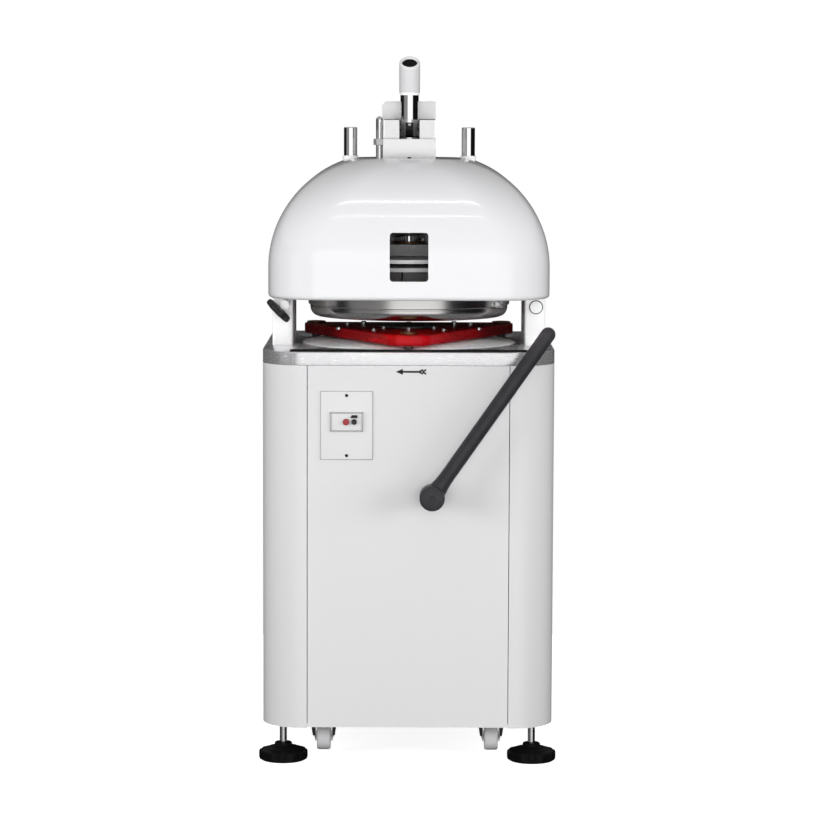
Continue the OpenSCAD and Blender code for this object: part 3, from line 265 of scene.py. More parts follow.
for across, side in hands:
    for along, end in ((-1, "front"), (1, "rear")):
        spot = (foot_in * across, foot_in * along, 0)
        body = f"foot_{end}_{side}"
        fit(twin(foot_pad, f"pad_{end}_{side}", spot), pad_black, body, "black_plastic",
            f"{end}_{side}_foot")
        fit(twin(foot_stem, f"stem_{end}_{side}", spot), bright_steel, body, "chrome_steel")
bpy.data.objects.remove(foot_pad)
bpy.data.objects.remove(foot_stem)


# ---- Castors ---------------------------------------------------------------------------------
# Two small castors behind the front feet, a finger clear of the floor once the feet are down.
# Zinc-plated cheeks and black wings under a bolted plate, grey moulded wheels on an axle.

def break_edges(piece, width, steps=2, angle=50):
    """Round off the sharp edges of a piece for good."""
    bpy.context.view_layer.objects.active = piece
    edge = piece.modifiers.new("eased", "BEVEL")
    edge.width = width
    edge.segments = steps
    edge.limit_method = "ANGLE"
    edge.angle_limit = math.radians(angle)
    bpy.ops.object.modifier_apply(modifier="eased")
    return smooth(piece)


def block(name, low, high, ease, corner=0.0, along=2, steps=3):
    """A sawn or pressed block: a cube at its size, corners rounded along one axis, edges eased."""
    low, high = Vector(low), Vector(high)
    bpy.ops.object.select_all(action="DESELECT")
    bpy.ops.mesh.primitive_cube_add(size=1, location=(low + high) / 2, scale=high - low)
    piece = bpy.context.object
    piece.name = name
    bpy.ops.object.transform_apply(location=True, rotation=True, scale=True)

    def runs_along(edge):
        start, end = (piece.data.vertices[i].co for i in edge.vertices)
        return abs((start - end)[along]) > 0.99 * (start - end).length

    if corner:
        choose(piece, "EDGE", runs_along)
        bpy.ops.mesh.bevel(offset=corner, segments=8, affect="EDGES")
        bpy.ops.object.mode_set(mode="OBJECT")
    return break_edges(piece, ease, steps) if ease else smooth(piece)


fork_black = finish("fork_black", (0.008, 0.008, 0.0085), 0.4, shade=0.25, fine=500, depth=0.00004,
                    shine=0.25)
wheel_grey = finish("wheel_grey", (0.66, 0.66, 0.67), 0.5, shade=0.08, fine=700, depth=0.00004)
zinc_grey = finish("zinc_grey", (0.52, 0.52, 0.52), 0.36, metal=0.6, shade=0.12, patch=40, fine=300)
castor_x, castor_y, castor_z = 0.180, -0.205, 0.040
wings = [block("fork_plate", (-0.029, -0.029, 0.0772), (0.029, 0.029, 0.083), 0.0012, 0.006)]
cheeks = []
for hand in (-1, 1):
    wing = block("wing", (0.0186, -0.012, 0.0415), (0.0290, 0.012, 0.0775), 0)
    pull(wing, lambda co: co.z < 0.05 and co.x > 0.02, move=(-0.0052, 0, 0))
    break_edges(wing, 0.0008)
    cheek = block("cheek", (0.0168, -0.014, 0.030), (0.0188, 0.014, 0.0775), 0)
    pull(cheek, lambda co: co.z < 0.04, grow=(1, 0.72, 1), centre=(0, 0, 0.03))
    break_edges(cheek, 0.0007)
    if hand < 0:
        for part in (wing, cheek):
            part.data.transform(Matrix.Rotation(math.pi, 4, "Z"))
    head = turned("axle_head", [(0.0055, 0), (0.0055, 0.0012), (0.0045, 0.0020)],
                  at=(0.0184 * hand, 0, castor_z), towards=(hand, 0, 0), sides=32)
    wings.append(wing)
    cheeks += [cheek, head]
fork = join("castor_fork", *wings)
cheek_pair = join("castor_cheeks", *cheeks)
axle = turned("castor_axle", [(0.0038, -0.0205), (0.004, -0.020), (0.004, 0.020),
                              (0.0038, 0.0205)],
              at=(0, 0, castor_z), towards=(1, 0, 0), sides=24)
wheel = turned("castor_wheel", [(0.0042, -0.016), (0.011, -0.016), (0.0125, -0.0135),
                                (0.0205, -0.0130), (0.022, -0.0145), (0.027, -0.0145),
                                (0.0292, -0.0125), (0.030, -0.0095), (0.030, 0.0095),
                                (0.0292, 0.0125), (0.027, 0.0145), (0.022, 0.0145),
                                (0.0205, 0.0130), (0.0125, 0.0135), (0.011, 0.016),
                                (0.0042, 0.016)],
               at=(0, 0, castor_z), towards=(1, 0, 0), sides=72, closed=True)
for across, side in hands:
    spot = (castor_x * across, castor_y, 0)
    fit(twin(fork, f"castor_fork_{side}", spot), fork_black, "machine", "black_steel",
        "castor_forks")
    fit(twin(cheek_pair, f"castor_cheeks_{side}", spot), zinc_grey, "machine", "frame_steel")
    fit(twin(axle, f"castor_axle_{side}", spot), bright_steel, "machine", "black_steel")
    fit(twin(wheel, f"castor_tread_{side}", spot), wheel_grey, f"wheel_{side}",
        "wheel_grey", f"{side}_wheel")
for pattern in (fork, cheek_pair, axle, wheel):
    bpy.data.objects.remove(pattern)


# ---- Casings and panels ----------------------------------------------------------------------
# Folded 2 mm sheets, powder-coated white: two casings wrapped round the corners, a front panel
# between open seams and a slotted rear panel, all hung on the frame.

case_white = finish("case_white", (0.592, 0.592, 0.599), 0.34, shade=0.012, patch=3, fine=900,
                    depth=0.000012, coat=0.15)
dress(case_white, "front_panel", "left_casing", "right_casing", "rear_panel")


# ---- Direction mark --------------------------------------------------------------------------
# A plain arrow screened on the front panel, which shows the way the rounding lever is pulled.
# A film of black ink, no thicker than paint.

ink_black = finish("ink_black", (0.015, 0.015, 0.016), 0.5, shade=0.2, fine=900, depth=0.00001)
arrow_z, arrow_face, stroke, point_half = 0.8365, -0.3101, 0.0021, 0.0064
ink_front, ink_back = arrow_face - 0.0002, arrow_face + 0.0002
shaft = block("arrow_shaft", (-0.018, ink_front, arrow_z - stroke),
              (0.026, ink_back, arrow_z + stroke), 0.0002)
point = block("arrow_point", (-0.0265, ink_front, arrow_z - point_half),
              (-0.012, ink_back, arrow_z + point_half), 0)
pull(point, lambda co: co.x < -0.02, grow=(1, 1, 0.05), centre=(0, 0, arrow_z))
marks = [shaft, point]
for start in (0.022, 0.029):
    for lift in (-1, 1):
        barb = block("arrow_barb", (start, ink_front, arrow_z - stroke),
                     (start + 0.008, ink_back, arrow_z + stroke), 0)
        pull(barb, lambda co, s=start: co.x > s + 0.004, move=(0, 0, 0.0045 * lift))
        marks.append(barb)
fit(join("direction_arrow", *marks), ink_black, "machine", "lever_black")


# ---- Drive under the table -------------------------------------------------------------------
# Flange motor, pulleys with a flat belt, bearing housings and the three cranks that carry the
# plate round its small circle. Cast iron, turned alloy and a rubberised belt.

motor_grey = finish("motor_grey", (0.10, 0.11, 0.12), 0.45, shade=0.2, fine=400, depth=0.00008)
turned_alloy = finish("turned_alloy", (0.60, 0.60, 0.61), 0.30, metal=1.0, shade=0.08, fine=250,
                      depth=0.00004)
belt_black = finish("belt_black", (0.018, 0.018, 0.018), 0.7, shade=0.3, fine=1200, depth=0.0001)
dress(motor_grey, "drive_motor")
dress(turned_alloy, "bearing_housings", "driven_pulley", "motor_pulley")
crank_steel = finish("crank_steel", (0.11, 0.11, 0.115), 0.4, metal=0.8, shade=0.15, fine=300)
dress(crank_steel, "front_crank", "left_crank", "right_crank")


def skin(name, rings, loop, caps):
    """A skin over rings of as many points each, in a loop or capped on the rings named."""
    around, count = len(rings[0]), len(rings)
    faces = [(i * around + k, i * around + (k + 1) % around,
              (i + 1) % count * around + (k + 1) % around, (i + 1) % count * around + k)
             for i in range(count if loop else count - 1) for k in range(around)]
    faces += [tuple(range(i * around, (i + 1) * around)) for i in caps]
    mesh = bpy.data.meshes.new(name)
    mesh.from_pydata([point for ring in rings for point in ring], [], faces)
    return placed(name, mesh)


def swept(name, stations, section, loop):
    """A band or wire: its section carried along stations of (centre, outward, upward)."""
    rings = [[centre + out * a + up * b for a, b in section] for centre, out, up in stations]
    return smooth(outward(skin(name, rings, loop, () if loop else (0, len(rings) - 1))))


crank_spots = ((0, -0.222), (-0.206, 0.119), (0.206, 0.119))
belt_low, belt_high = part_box("drive_belt")
belt_mid = (belt_low.z + belt_high.z) / 2
pulley_a, radius_a = Vector((*crank_spots[1], belt_mid)), 0.0778
pulley_b, radius_b = Vector((0.060, 0.100, belt_mid)), 0.0403
line = pulley_b - pulley_a
tilt = math.acos((radius_a - radius_b) / line.length)
ahead = math.atan2(line.y, line.x)
loop = []
for middle, radius, begin, finish_at in (
        (pulley_a, radius_a, ahead + tilt, ahead + 2 * math.pi - tilt),
        (pulley_b, radius_b, ahead - tilt, ahead + tilt)):
    for step in range(49):
        swing = begin + (finish_at - begin) * step / 48
        out = Vector((math.cos(swing), math.sin(swing), 0))
        loop.append((middle + out * radius, out, Vector((0, 0, 1))))
half_band, half_width, ease = 0.0024, 0.010, 0.0008
band = [(-half_band, ease - half_width), (-half_band, half_width - ease),
        (ease - half_band, half_width), (half_band - ease, half_width),
        (half_band, half_width - ease), (half_band, ease - half_width),
        (half_band - ease, -half_width), (ease - half_band, -half_width)]
fit(swept("flat_belt", loop, band, True), belt_black, "machine", "belt_rubber", "drive_belt")


# ---- Table -----------------------------------------------------------------------------------
# One folded sheet of brushed stainless steel, drawn down into a rim round the cabinet's top.
# A thin black strip lies along its front edge, and a low satin disc under the carrier sheds
# the flour.

def eased(name, solid, width, steps=2, angle=40):
    """A CAD solid drawn again with its sharp edges broken, as a finished casting or folding."""
    piece = hold(placed(name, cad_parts[solid].data.copy()))
    bpy.ops.mesh.customdata_custom_splitnormals_clear()
    return break_edges(outward(piece, 1e-5, 0.5), width, steps, angle)


def bore(piece, cutters):
    """Cut through a piece with each cutter, and throw the cutter away."""
    for cutter in cutters:
        hole = piece.modifiers.new("hole", "BOOLEAN")
        hole.object = cutter
        hole.solver = "EXACT"
        bpy.context.view_layer.objects.active = piece
        bpy.ops.object.modifier_apply(modifier="hole")
        bpy.data.objects.remove(cutter)
    return piece


table_steel = finish("table_steel", (0.62, 0.62, 0.63), 0.24, metal=0.75, shade=0.05, patch=4,
                     grain=(0.04, 1, 1), fine=700, depth=0.000012)
# Dead black for thin dark lines, among them the painted shadow round the column plug.
dark_line_black = finish("dark_line_black", (0.006, 0.006, 0.006), 0.6, shade=0.3, fine=900,
                      depth=0.00005, shine=0.1)
fit(eased("table_sheet", "table_top", 0.0022, 3), table_steel, "machine", "stainless", "table_top")
fit(block("table_strip", (-0.250, -0.2905, 0.8768), (0.250, -0.282, 0.8815), 0.0012),
    dark_line_black, "machine", "belt_rubber")
disc_satin = finish("disc_satin", (0.62, 0.62, 0.63), 0.5, shade=0.06, patch=12, fine=200)
apron = turned("flour_disc", [(0.2320, 0), (0.2330, 0.0004), (0.2330, 0.0014),
                              (0.2310, 0.0024), (0.2150, 0.0050), (0.2000, 0.0066),
                              (0.1940, 0.0068)], at=(0, -0.015, 0.8771), sides=128)
bore(apron, [turned("crank_cutter", [(0.026, 0.86), (0.026, 0.90)], at=(x, y, 0), sides=48)
             for x, y in crank_spots])
fit(smooth(apron), disc_satin, "machine", "stainless")


# ---- Orbiting carrier ------------------------------------------------------------------------
# A three-cornered alloy casting sprayed glossy red, on three crank pins under bronze cap rings.
# A dark disc, bolts and locating pins on top hold the dough plate.

carrier_red = finish("carrier_red", (0.185, 0.0010, 0.0026), 0.3, shade=0.12, fine=250,
                     depth=0.00005, shine=0.1)
cap_bronze = finish("cap_bronze", (0.32, 0.18, 0.10), 0.32, metal=1.0, shade=0.15, fine=300,
                    depth=0.00004)
disc_black = finish("disc_black", (0.016, 0.016, 0.018), 0.3, shade=0.3, fine=500, depth=0.00004)
fit(eased("carrier_casting", "orbit_carrier", 0.0035, 3), carrier_red, "carrier",
    "carrier_red", "orbit_carrier")
carrier_y, carrier_top, sunk = -0.010, 0.910, 0.0002
rings = []
for x, y in crank_spots:
    spot = (x, y + carrier_y, carrier_top)
    rings.append(turned("cap_ring", [(0.0150, 0), (0.0205, 0), (0.0210, 0.0008), (0.0210, 0.0028),
                                     (0.0196, 0.004), (0.0162, 0.004), (0.0150, 0.003)],
                        at=spot, closed=True))
    rings.append(turned("cap_plate", [(0.0152, 0), (0.0152, 0.0010), (0.0040, 0.0012),
                                      (0.0036, 0.0006)], at=spot))
fit(join("cap_rings", *rings), cap_bronze, "carrier", "bronze", "carrier_caps")


def round_about(radius, degrees, z):
    """A place on the carrier, by its distance and bearing from the middle."""
    swing = math.radians(degrees)
    return radius * math.cos(swing), carrier_y + radius * math.sin(swing), z


pins = [turned("locating_pin", [(0.006, 0), (0.006, 0.0062), (0.0045, 0.008)],
               at=round_about(0.115, a, carrier_top), sides=32) for a in (30, 150, 270)]
fit(join("plate_pins", *pins), bright_steel, "carrier", "chrome_steel", "locating_pins")
fit(turned("carrier_disc", [(0.062, 0), (0.064, 0.0006), (0.064, 0.0042), (0.0625, 0.005),
                            (0.034, 0.005), (0.032, 0.0035)],
           at=(0, carrier_y, carrier_top - sunk)), disc_black, "carrier", "black_steel")
bolts = [turned("carrier_bolt", [(0.0058, 0), (0.0058, 0.0040), (0.0050, 0.0048), (0.0030, 0.0048),
                                 (0.0027, 0.0020)],
                at=round_about(r, a, carrier_top - sunk), sides=24)
         for r, a in ((0.085, 230), (0.085, 310), (0.150, 240), (0.150, 300), (0.175, 210),
                      (0.175, 330), (0.085, 90), (0.150, 25), (0.150, 155))]
fit(join("carrier_bolts", *bolts), bright_steel, "carrier", "chrome_steel")


# ---- Columns ---------------------------------------------------------------------------------
# Two folded and welded box columns, painted white and bolted through the table to the frame.
# A plug closes the unused knob hole on the right, ringed in black as painted shadow.

# A lighter copy of the white paint: painted light that offsets the dome's shade on the columns.
lit_head_white = finish("lit_head_white", (0.92, 0.92, 0.928), 0.30, shade=0.012, patch=3, fine=900,
                    depth=0.000012, coat=0.2)
for _, side in hands:
    fit(eased(f"column_{side}", f"{side}_column", 0.0012, 2), lit_head_white, "machine",
        "white_paint", f"{side}_column")
# A thin black ring round the plug: painted shadow for the gap at its edge.
shadow_ring_at = (0.2745, -0.110, 0.960)
shadow_ring = turned("plug_shadow_ring", [(0.0131, 0), (0.0150, 0), (0.0150, 0.0010), (0.0131, 0.0014)],
              at=shadow_ring_at, towards=(0, -1, 0), sides=48, closed=True)
fit(shadow_ring, dark_line_black, "machine", "belt_rubber")


# ---- Bridge and guides -----------------------------------------------------------------------
# A heavy alloy casting across the columns, with pressed-in bronze bushes for the rods and the
# spindle, and four posts up to the crown.

bridge_grey = finish("bridge_grey", (0.34, 0.34, 0.345), 0.45, metal=0.7, shade=0.12, fine=220,
                     depth=0.0001)
dress(bridge_grey, "head_bridge")
dress(cap_bronze, "guide_bushes", "rounding_bush")
dress(bright_steel, "head_posts")


# ---- Cell ring, knives and yoke --------------------------------------------------------------
# A turned alloy ring with a dished lower lip, set with thin steel knives, hung on posts from a
# steel yoke. A small catch on its right side locks the knives in place.

ring_alloy = finish("ring_alloy", (0.56, 0.55, 0.545), 0.24, metal=1.0, shade=0.05,
                    grain=(1, 1, 12), fine=60, depth=0.000008, spread=0.08)
ring_low = 0.932
fit(turned("dough_ring", [(0.192, 0.0025), (0.1945, 0.0025), (0.2020, 0.0032),
                          (0.2078, 0.0058), (0.2122, 0.0102), (0.2150, 0.0160),
                          (0.2160, 0.0215),
                          (0.2160, 0.0250), (0.2130, 0.0255), (0.2130, 0.0276),
                          (0.2185, 0.0280), (0.2200, 0.0295), (0.2200, 0.0545),
                          (0.2185, 0.0560), (0.1935, 0.0560), (0.192, 0.0545)],
           at=(0, 0, ring_low), sides=160, closed=True), ring_alloy,
    "ring_group", "cast_alloy", "cell_ring")
dress(bright_steel, "knife_grid", "ring_posts")
yoke_pale = finish("yoke_pale", (0.88, 0.88, 0.88), 0.4, shade=0.06, fine=300, depth=0.00004)
dress(yoke_pale, "ring_yoke")
catch_at = Vector((0.195, -0.1065, 0.962))
catch_turn = Matrix.Translation(catch_at) @ Matrix.Rotation(math.radians(-28.6), 4, "Z")
catch = join("ring_catch",
             block("catch_body", (-0.006, -0.009, -0.004), (0.010, 0.009, 0.014), 0.0015),
             block("catch_arm", (0.004, -0.006, 0.010), (0.016, 0.006, 0.020), 0.002),
             turned("catch_pin", [(0.0036, -0.013), (0.0042, -0.0122), (0.0042, 0.0122),
                                  (0.0036, 0.013)], at=(0.006, 0, 0.004), towards=(0, 1, 0),
                    sides=24))
catch.data.transform(catch_turn)
fit(catch, bright_steel, "ring_group", "chrome_steel")


# ---- Guide rods and their springs ------------------------------------------------------------
# Two ground and chromed rods rise from the yoke through the bridge and the dome. A coil spring
# under a collar on each lifts the ring again.

chrome = finish("chrome", (0.80, 0.80, 0.81), 0.07, metal=1.0, shade=0.03, grain=(1, 1, 0.2),
                fine=200, depth=0.000004)
spring_steel = finish("spring_steel", (0.30, 0.30, 0.31), 0.3, metal=1.0, shade=0.15, fine=600,
                      depth=0.00003)
rod_x, rod_low, rod_high = 0.1285, 1.058, 1.345
spring_low, spring_high = 1.097, 1.229
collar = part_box("guide_rods")[1].x - rod_x
rod_r, collar_top = 0.0145, spring_high + 0.008
rod = turned("guide_rod", [(rod_r, rod_low), (rod_r, spring_high), (collar - 0.001, spring_high),
                           (collar, spring_high + 0.001), (collar, collar_top - 0.001),
                           (collar - 0.001, collar_top), (rod_r, collar_top),
                           (rod_r, rod_high - 0.0015), (0.0130, rod_high), (0.0040, rod_high),
                           (0.0034, rod_high - 0.003)], sides=72)


def coil(name, x, mean, thick, curls):
    """A round-wire compression spring, wound as one even helix from seat to collar."""
    stations, each = [], 28
    low, high = spring_low + thick / 2, spring_high - thick / 2
    total = curls * each
    for step in range(total + 1):
        swing = 2 * math.pi * step / each
        out = Vector((math.cos(swing), math.sin(swing), 0))
        stations.append((Vector((x, 0, low + (high - low) * step / total)) + out * mean, out,
                         Vector((0, 0, 1))))
    round_wire = [(thick / 2 * math.cos(2 * math.pi * k / 12),
                   thick / 2 * math.sin(2 * math.pi * k / 12)) for k in range(12)]
    return swept(name, stations, round_wire, False)


for across, side in hands:
    fit(twin(rod, f"guide_rod_{side}", (rod_x * across, 0, 0)), chrome, "ring_group",
        "chrome_steel", "guide_rods")
    spring = fit(coil(f"ring_spring_{side}", rod_x * across, 0.0195, 0.005, 9), spring_steel,
                 "machine", "black_steel", "ring_springs")
    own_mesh(spring)
bpy.data.objects.remove(rod)


# ---- Press stamps, spindle and depth stop ----------------------------------------------------
# Thirty moulded stamps under a plate on a chromed spindle, lifted by one large spring. A thin
# rod with a hexagon nut sets how deep the press goes.

# The stamps' dark grey is painted shade for the dim inside of the dome, not their own colour.
shaded_stamp_grey = finish("shaded_stamp_grey", (0.10, 0.10, 0.10), 0.42, shade=0.04, fine=500, depth=0.00003)
plate_white = finish("plate_white", (0.95, 0.95, 0.94), 0.35, shade=0.04, fine=500, depth=0.00002)
dress(shaded_stamp_grey, "press_stamps")
dress(plate_white, "stamp_plate")
dress(chrome, "press_spindle")
press_spring = fit(coil("press_coil", 0, 0.030, 0.006, 8), spring_steel, "machine",
                   "black_steel", "press_spring")
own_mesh(press_spring)


def round_end(radius, height, *angles):
    """The lathe steps of a rounded end that begins at a height."""
    return [(radius * math.cos(math.radians(a)), height + radius * math.sin(math.radians(a)))
            for a in angles]


stop_x, stop_low, stop_r = -0.065, 1.047, 0.008
stop_end = 1.369 - stop_r
stop_steps = [(stop_r, stop_low), (stop_r, stop_end)]
stop_steps += round_end(stop_r, stop_end, 20, 40, 60, 78)
fit(turned("depth_rod", stop_steps, at=(stop_x, 0, 0), sides=40), chrome, "stamp_group",
    "chrome_steel", "stop_rod")
nut = turned("depth_nut", [(0.0081, 0), (0.0122, 0), (0.0135, 0.0010), (0.0135, 0.0130),
                           (0.0122, 0.0140), (0.0081, 0.0140)], sides=6, closed=True)
nut.data.transform(Matrix.Translation((stop_x, 0, 1.306)) @ Matrix.Rotation(math.pi / 6, 4, "Z"))
fit(nut, zinc_grey, "stamp_group", "chrome_steel", "stop_nut")


# ---- Dome ------------------------------------------------------------------------------------
# A deep-drawn cover, square in plan with wide corners, sprayed gloss white. Its lower edge is
# rolled in, a window is cut in its front, and the rods come up through its crown.

dome_white = finish("dome_white", (0.712, 0.712, 0.725), 0.16, shade=0.01, patch=3, fine=500,
                    depth=0.000008, coat=0.5)
dome_low, dome_edge, dome_shoulder, dome_high = 0.985, 0.994, 1.050, 1.279
dome_half, dome_reach, dome_rise = 0.300, 0.240, 0.238
profile = [(dome_low, 0.294), (0.9862, 0.2966), (0.988, 0.2985), (0.9905, 0.2997)]
profile += [(dome_edge + 0.008 * i, dome_half) for i in range(8)]
for i in range(33):
    z = dome_shoulder + (dome_high - 0.004 - dome_shoulder) * math.sin(math.pi / 2 * i / 32)
    bulge = math.sqrt(1 - ((z - dome_shoulder) / dome_rise) ** 2)
    profile.append((z, dome_half - dome_reach + dome_reach * bulge))
edge_z, edge_r = profile[-1]
profile += [(edge_z + 0.0016, edge_r - 0.0045), (edge_z + 0.0030, edge_r - 0.0105),
            (dome_high, edge_r - 0.018), (dome_high, edge_r - 0.045), (dome_high, 0.040)]


def dome_ring(z, half):
    """The rounded square of the dome at one level: straight sides and four corner arcs."""
    corner = min(0.120, half - 0.001)
    flat = half - corner
    ring = []
    for quarter in range(4):
        turn = Matrix.Rotation(quarter * math.pi / 2, 3, "Z")
        for step in range(16):
            ring.append(turn @ Vector((half, flat * (2 * step / 16 - 1), z)))
        for step in range(20):
            swing = math.pi / 2 * step / 20
            ring.append(turn @ Vector((flat + corner * math.cos(swing),
                                       flat + corner * math.sin(swing), z)))
    return ring


dome = hold(skin("dome_shell", [dome_ring(z, half) for z, half in profile], False,
                 (len(profile) - 1,)))
wall = dome.modifiers.new("wall", "SOLIDIFY")
wall.thickness = 0.004
wall.offset = -1
bpy.ops.object.modifier_apply(modifier="wall")
cutters = [block("window_cutter", (-0.0405, -0.33, 1.025), (0.0405, -0.20, 1.127), 0, 0.007, 1)]
for x, r in ((-rod_x, 0.0155), (rod_x, 0.0155), (stop_x, 0.009), (0, 0.024)):
    cutters.append(turned("rod_cutter", [(r, 1.20), (r, 1.32)], at=(x, 0, 0), sides=48))
bore(dome, cutters)
fit(smooth(dome, 40), dome_white, "machine", "white_gloss", "dome_cover")
crown_screw = turned("crown_screw", [(0.0040, 0), (0.0044, 0.0006), (0.0044, 0.0022),
                                     (0.0030, 0.0032), (0.0016, 0.0032), (0.0014, 0.0016)],
                     at=(0, -0.098, dome_high - 0.0002), sides=32)
fit(crown_screw, fork_black, "machine", "black_steel")
for across, side in hands:
    collar_ring = turned(f"rod_collar_{side}", [(0.0153, 1.2640), (0.0168, 1.2640),
                                                (0.0172, 1.2645), (0.0172, 1.2822),
                                                (0.0166, 1.2832), (0.0153, 1.2832)],
                         at=(rod_x * across, 0, 0), sides=64, closed=True)
    fit(collar_ring, lit_head_white, "machine", "white_gloss")


# ---- Lever bracket and press lever -----------------------------------------------------------
# A white cast bracket bolted on the crown holds the cam's pivot. The lever is an upright chromed
# bar with the cam let into its root, and a grip bent forward in a white sleeve with a black plug.

bracket_white = finish("bracket_white", (0.62, 0.62, 0.625), 0.36, shade=0.015, patch=8, fine=900,
                       depth=0.000012, coat=0.1)
lid_grey = finish("lid_grey", (0.67, 0.67, 0.675), 0.40, shade=0.02, patch=8, fine=900,
                  depth=0.000012)
fit(eased("bracket_casting", "lever_bracket", 0.0020, 3), bracket_white, "machine",
    "white_paint", "lever_bracket")
fit(eased("bracket_lid", "bracket_cap", 0.0020, 3), lid_grey, "machine", "white_paint",
    "bracket_cap")
lid_low, lid_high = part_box("bracket_cap")
gaskets = [block("lid_gasket", (left, lid_low.y - 0.0004, lid_low.z - 0.0006),
                 (right, lid_high.y + 0.0004, lid_low.z + 0.0012), 0.0003)
           for left, right in ((-0.0550, -0.0220), (0.0220, 0.0566))]
fit(join("lid_gaskets", *gaskets), dark_line_black, "machine", "belt_rubber")
sleeve_white = finish("sleeve_white", (0.725, 0.725, 0.735), 0.22, shade=0.015, fine=400,
                      depth=0.00001, coat=0.4)
plug_black = finish("plug_black", (0.004, 0.004, 0.004), 0.6, shade=0.2, fine=700, depth=0.00003,
                    shine=0.15)
pivot = Vector((0, 0.008, 1.345))
lever_top, grip_bend, grip_length = 0.071, 0.078, 0.080
fit(turned("lever_root", [(0.0170, -0.0190), (0.0190, -0.0185), (0.0200, -0.0170),
                          (0.0200, 0.0167), (0.0197, 0.0170)], at=pivot, sides=72), chrome,
    "press_handle", "chrome_steel", "lever_cam")
fit(turned("cam_pivot", [(0.0068, -0.052), (0.0080, -0.0508), (0.0080, 0.0508),
                         (0.0068, 0.052)], at=pivot, towards=(1, 0, 0), sides=40),
    crank_steel, "press_handle", "chrome_steel")
cam_rate = 0.012 / math.radians(57)
cam_line = [(0, 0.010)]
for step in range(15):
    swing = math.radians(-7 + 71 * step / 14)
    rise = 0.022 + cam_rate * swing
    cam_line.append((-rise * math.sin(swing) - cam_rate * math.cos(swing),
                     -rise * math.cos(swing) + cam_rate * math.sin(swing)))
cam_line.append((-0.024, 0.010))
cam_sides = [(pivot + Vector((side, 0, 0)), Vector((0, 1, 0)), Vector((0, 0, 1)))
             for side in (-0.0085, 0.0085)]
cam = break_edges(swept("cam_nose", cam_sides, cam_line, False), 0.0006)
fit(cam, fork_black, "press_handle", "black_steel")
cam_screw = turned("cam_screw", [(0.0034, -0.0005), (0.0037, 0.0006), (0.0033, 0.0016),
                                 (0.0014, 0.0018), (0.0012, 0.0010)],
                   at=pivot + Vector((0, -0.0285, 0.0050)), towards=(0, -0.744, 0.668), sides=24)
fit(cam_screw, bright_steel, "press_handle", "chrome_steel")
fit(turned("lever_bar", [(0.0197, 0.0170), (0.0200, 0.0173), (0.0200, lever_top - 0.0005),
                         (0.0195, lever_top)], at=pivot, sides=72), chrome,
    "press_handle", "chrome_steel", "press_lever")
fit(turned("sleeve_band", [(0.0201, 0.0696), (0.0210, 0.0696), (0.0214, 0.0701),
                           (0.0214, 0.0756), (0.0201, 0.0762)], at=pivot, sides=72,
           closed=True), lit_head_white, "press_handle", "white_gloss")
grip_lean = math.radians(38)
grip_way = Vector((0, -math.sin(grip_lean), math.cos(grip_lean)))
grip_at = pivot + Vector((0, 0, grip_bend))
sleeve = turned("grip_sleeve", [(0.0225, -0.0300), (0.0225, grip_length - 0.0060),
                                (0.0220, grip_length - 0.0028), (0.0208, grip_length - 0.0008),
                                (0.0190, grip_length), (0.0172, grip_length - 0.0006),
                                (0.0164, grip_length - 0.0022), (0.0161, grip_length - 0.0120)],
                at=grip_at, towards=grip_way, sides=96)
bpy.ops.object.mode_set(mode="EDIT")
bpy.ops.mesh.select_all(action="SELECT")
bpy.ops.mesh.bisect(plane_co=(0, 0, pivot.z + 0.0752), plane_no=(0, 0, 1), clear_inner=True,
                    use_fill=True)
bpy.ops.object.mode_set(mode="OBJECT")
fit(smooth(outward(sleeve)), sleeve_white, "press_handle", "white_gloss", "lever_sleeve")
fit(turned("end_plug", [(0.0160, grip_length - 0.0140), (0.0160, grip_length - 0.0052),
                        (0.0150, grip_length - 0.0042), (0.0130, grip_length - 0.0042),
                        (0.0112, grip_length - 0.0060), (0.0030, grip_length - 0.0066),
                        (0.0024, grip_length - 0.0056)],
           at=grip_at, towards=grip_way, sides=48), plug_black, "press_handle",
    "black_plastic", "lever_plug")


# ---- Clamp knob ------------------------------------------------------------------------------
# A moulded lobed knob on a stud, screwed slantwise into the boss of the left column, where it
# clamps the head at its set height.

knob_black = finish("knob_black", (0.014, 0.014, 0.015), 0.42, shade=0.3, fine=700, depth=0.00006)
knob_seat = Vector((-0.2665, -0.146, 0.966))
knob_way = Vector((-1, 0, -1)).normalized()
knob = turned("knob_head", [(0.012, 0.0105), (0.016, 0.0105), (0.0245, 0.0113), (0.0305, 0.0130),
                            (0.0320, 0.0155), (0.0320, 0.0215), (0.0305, 0.0242),
                            (0.0245, 0.0258), (0.016, 0.0262), (0.010, 0.0258), (0.009, 0.0248)],
              sides=84)
for hollow in range(7):
    bearing = 2 * math.pi * (hollow + 0.5) / 7
    for reach, share in ((0.26, 0.94), (0.16, 0.93)):
        pull(knob, lambda co, b=bearing, w=reach: co.xy.length > 0.020
             and near(math.atan2(co.y, co.x), b, w),
             grow=(share, share, 1), centre=(0, 0, 0.02))
smooth(knob, 40)
stud = turned("knob_stud", [(0.0033, -0.0158), (0.0040, -0.015), (0.0040, 0.012)], sides=24)
for part in (knob, stud):
    part.data.transform(Matrix.Translation(knob_seat) @ facing(knob_way))
fit(knob, knob_black, "knob", "black_plastic", "clamp_knob")
fit(stud, bright_steel, "knob", "chrome_steel")


# ---- Rounding lever --------------------------------------------------------------------------
# A thick bar with a round end, cast with its hub, powder-coated in a coarse dark grey, and
# pinned on the shaft that starts the rounding motion.

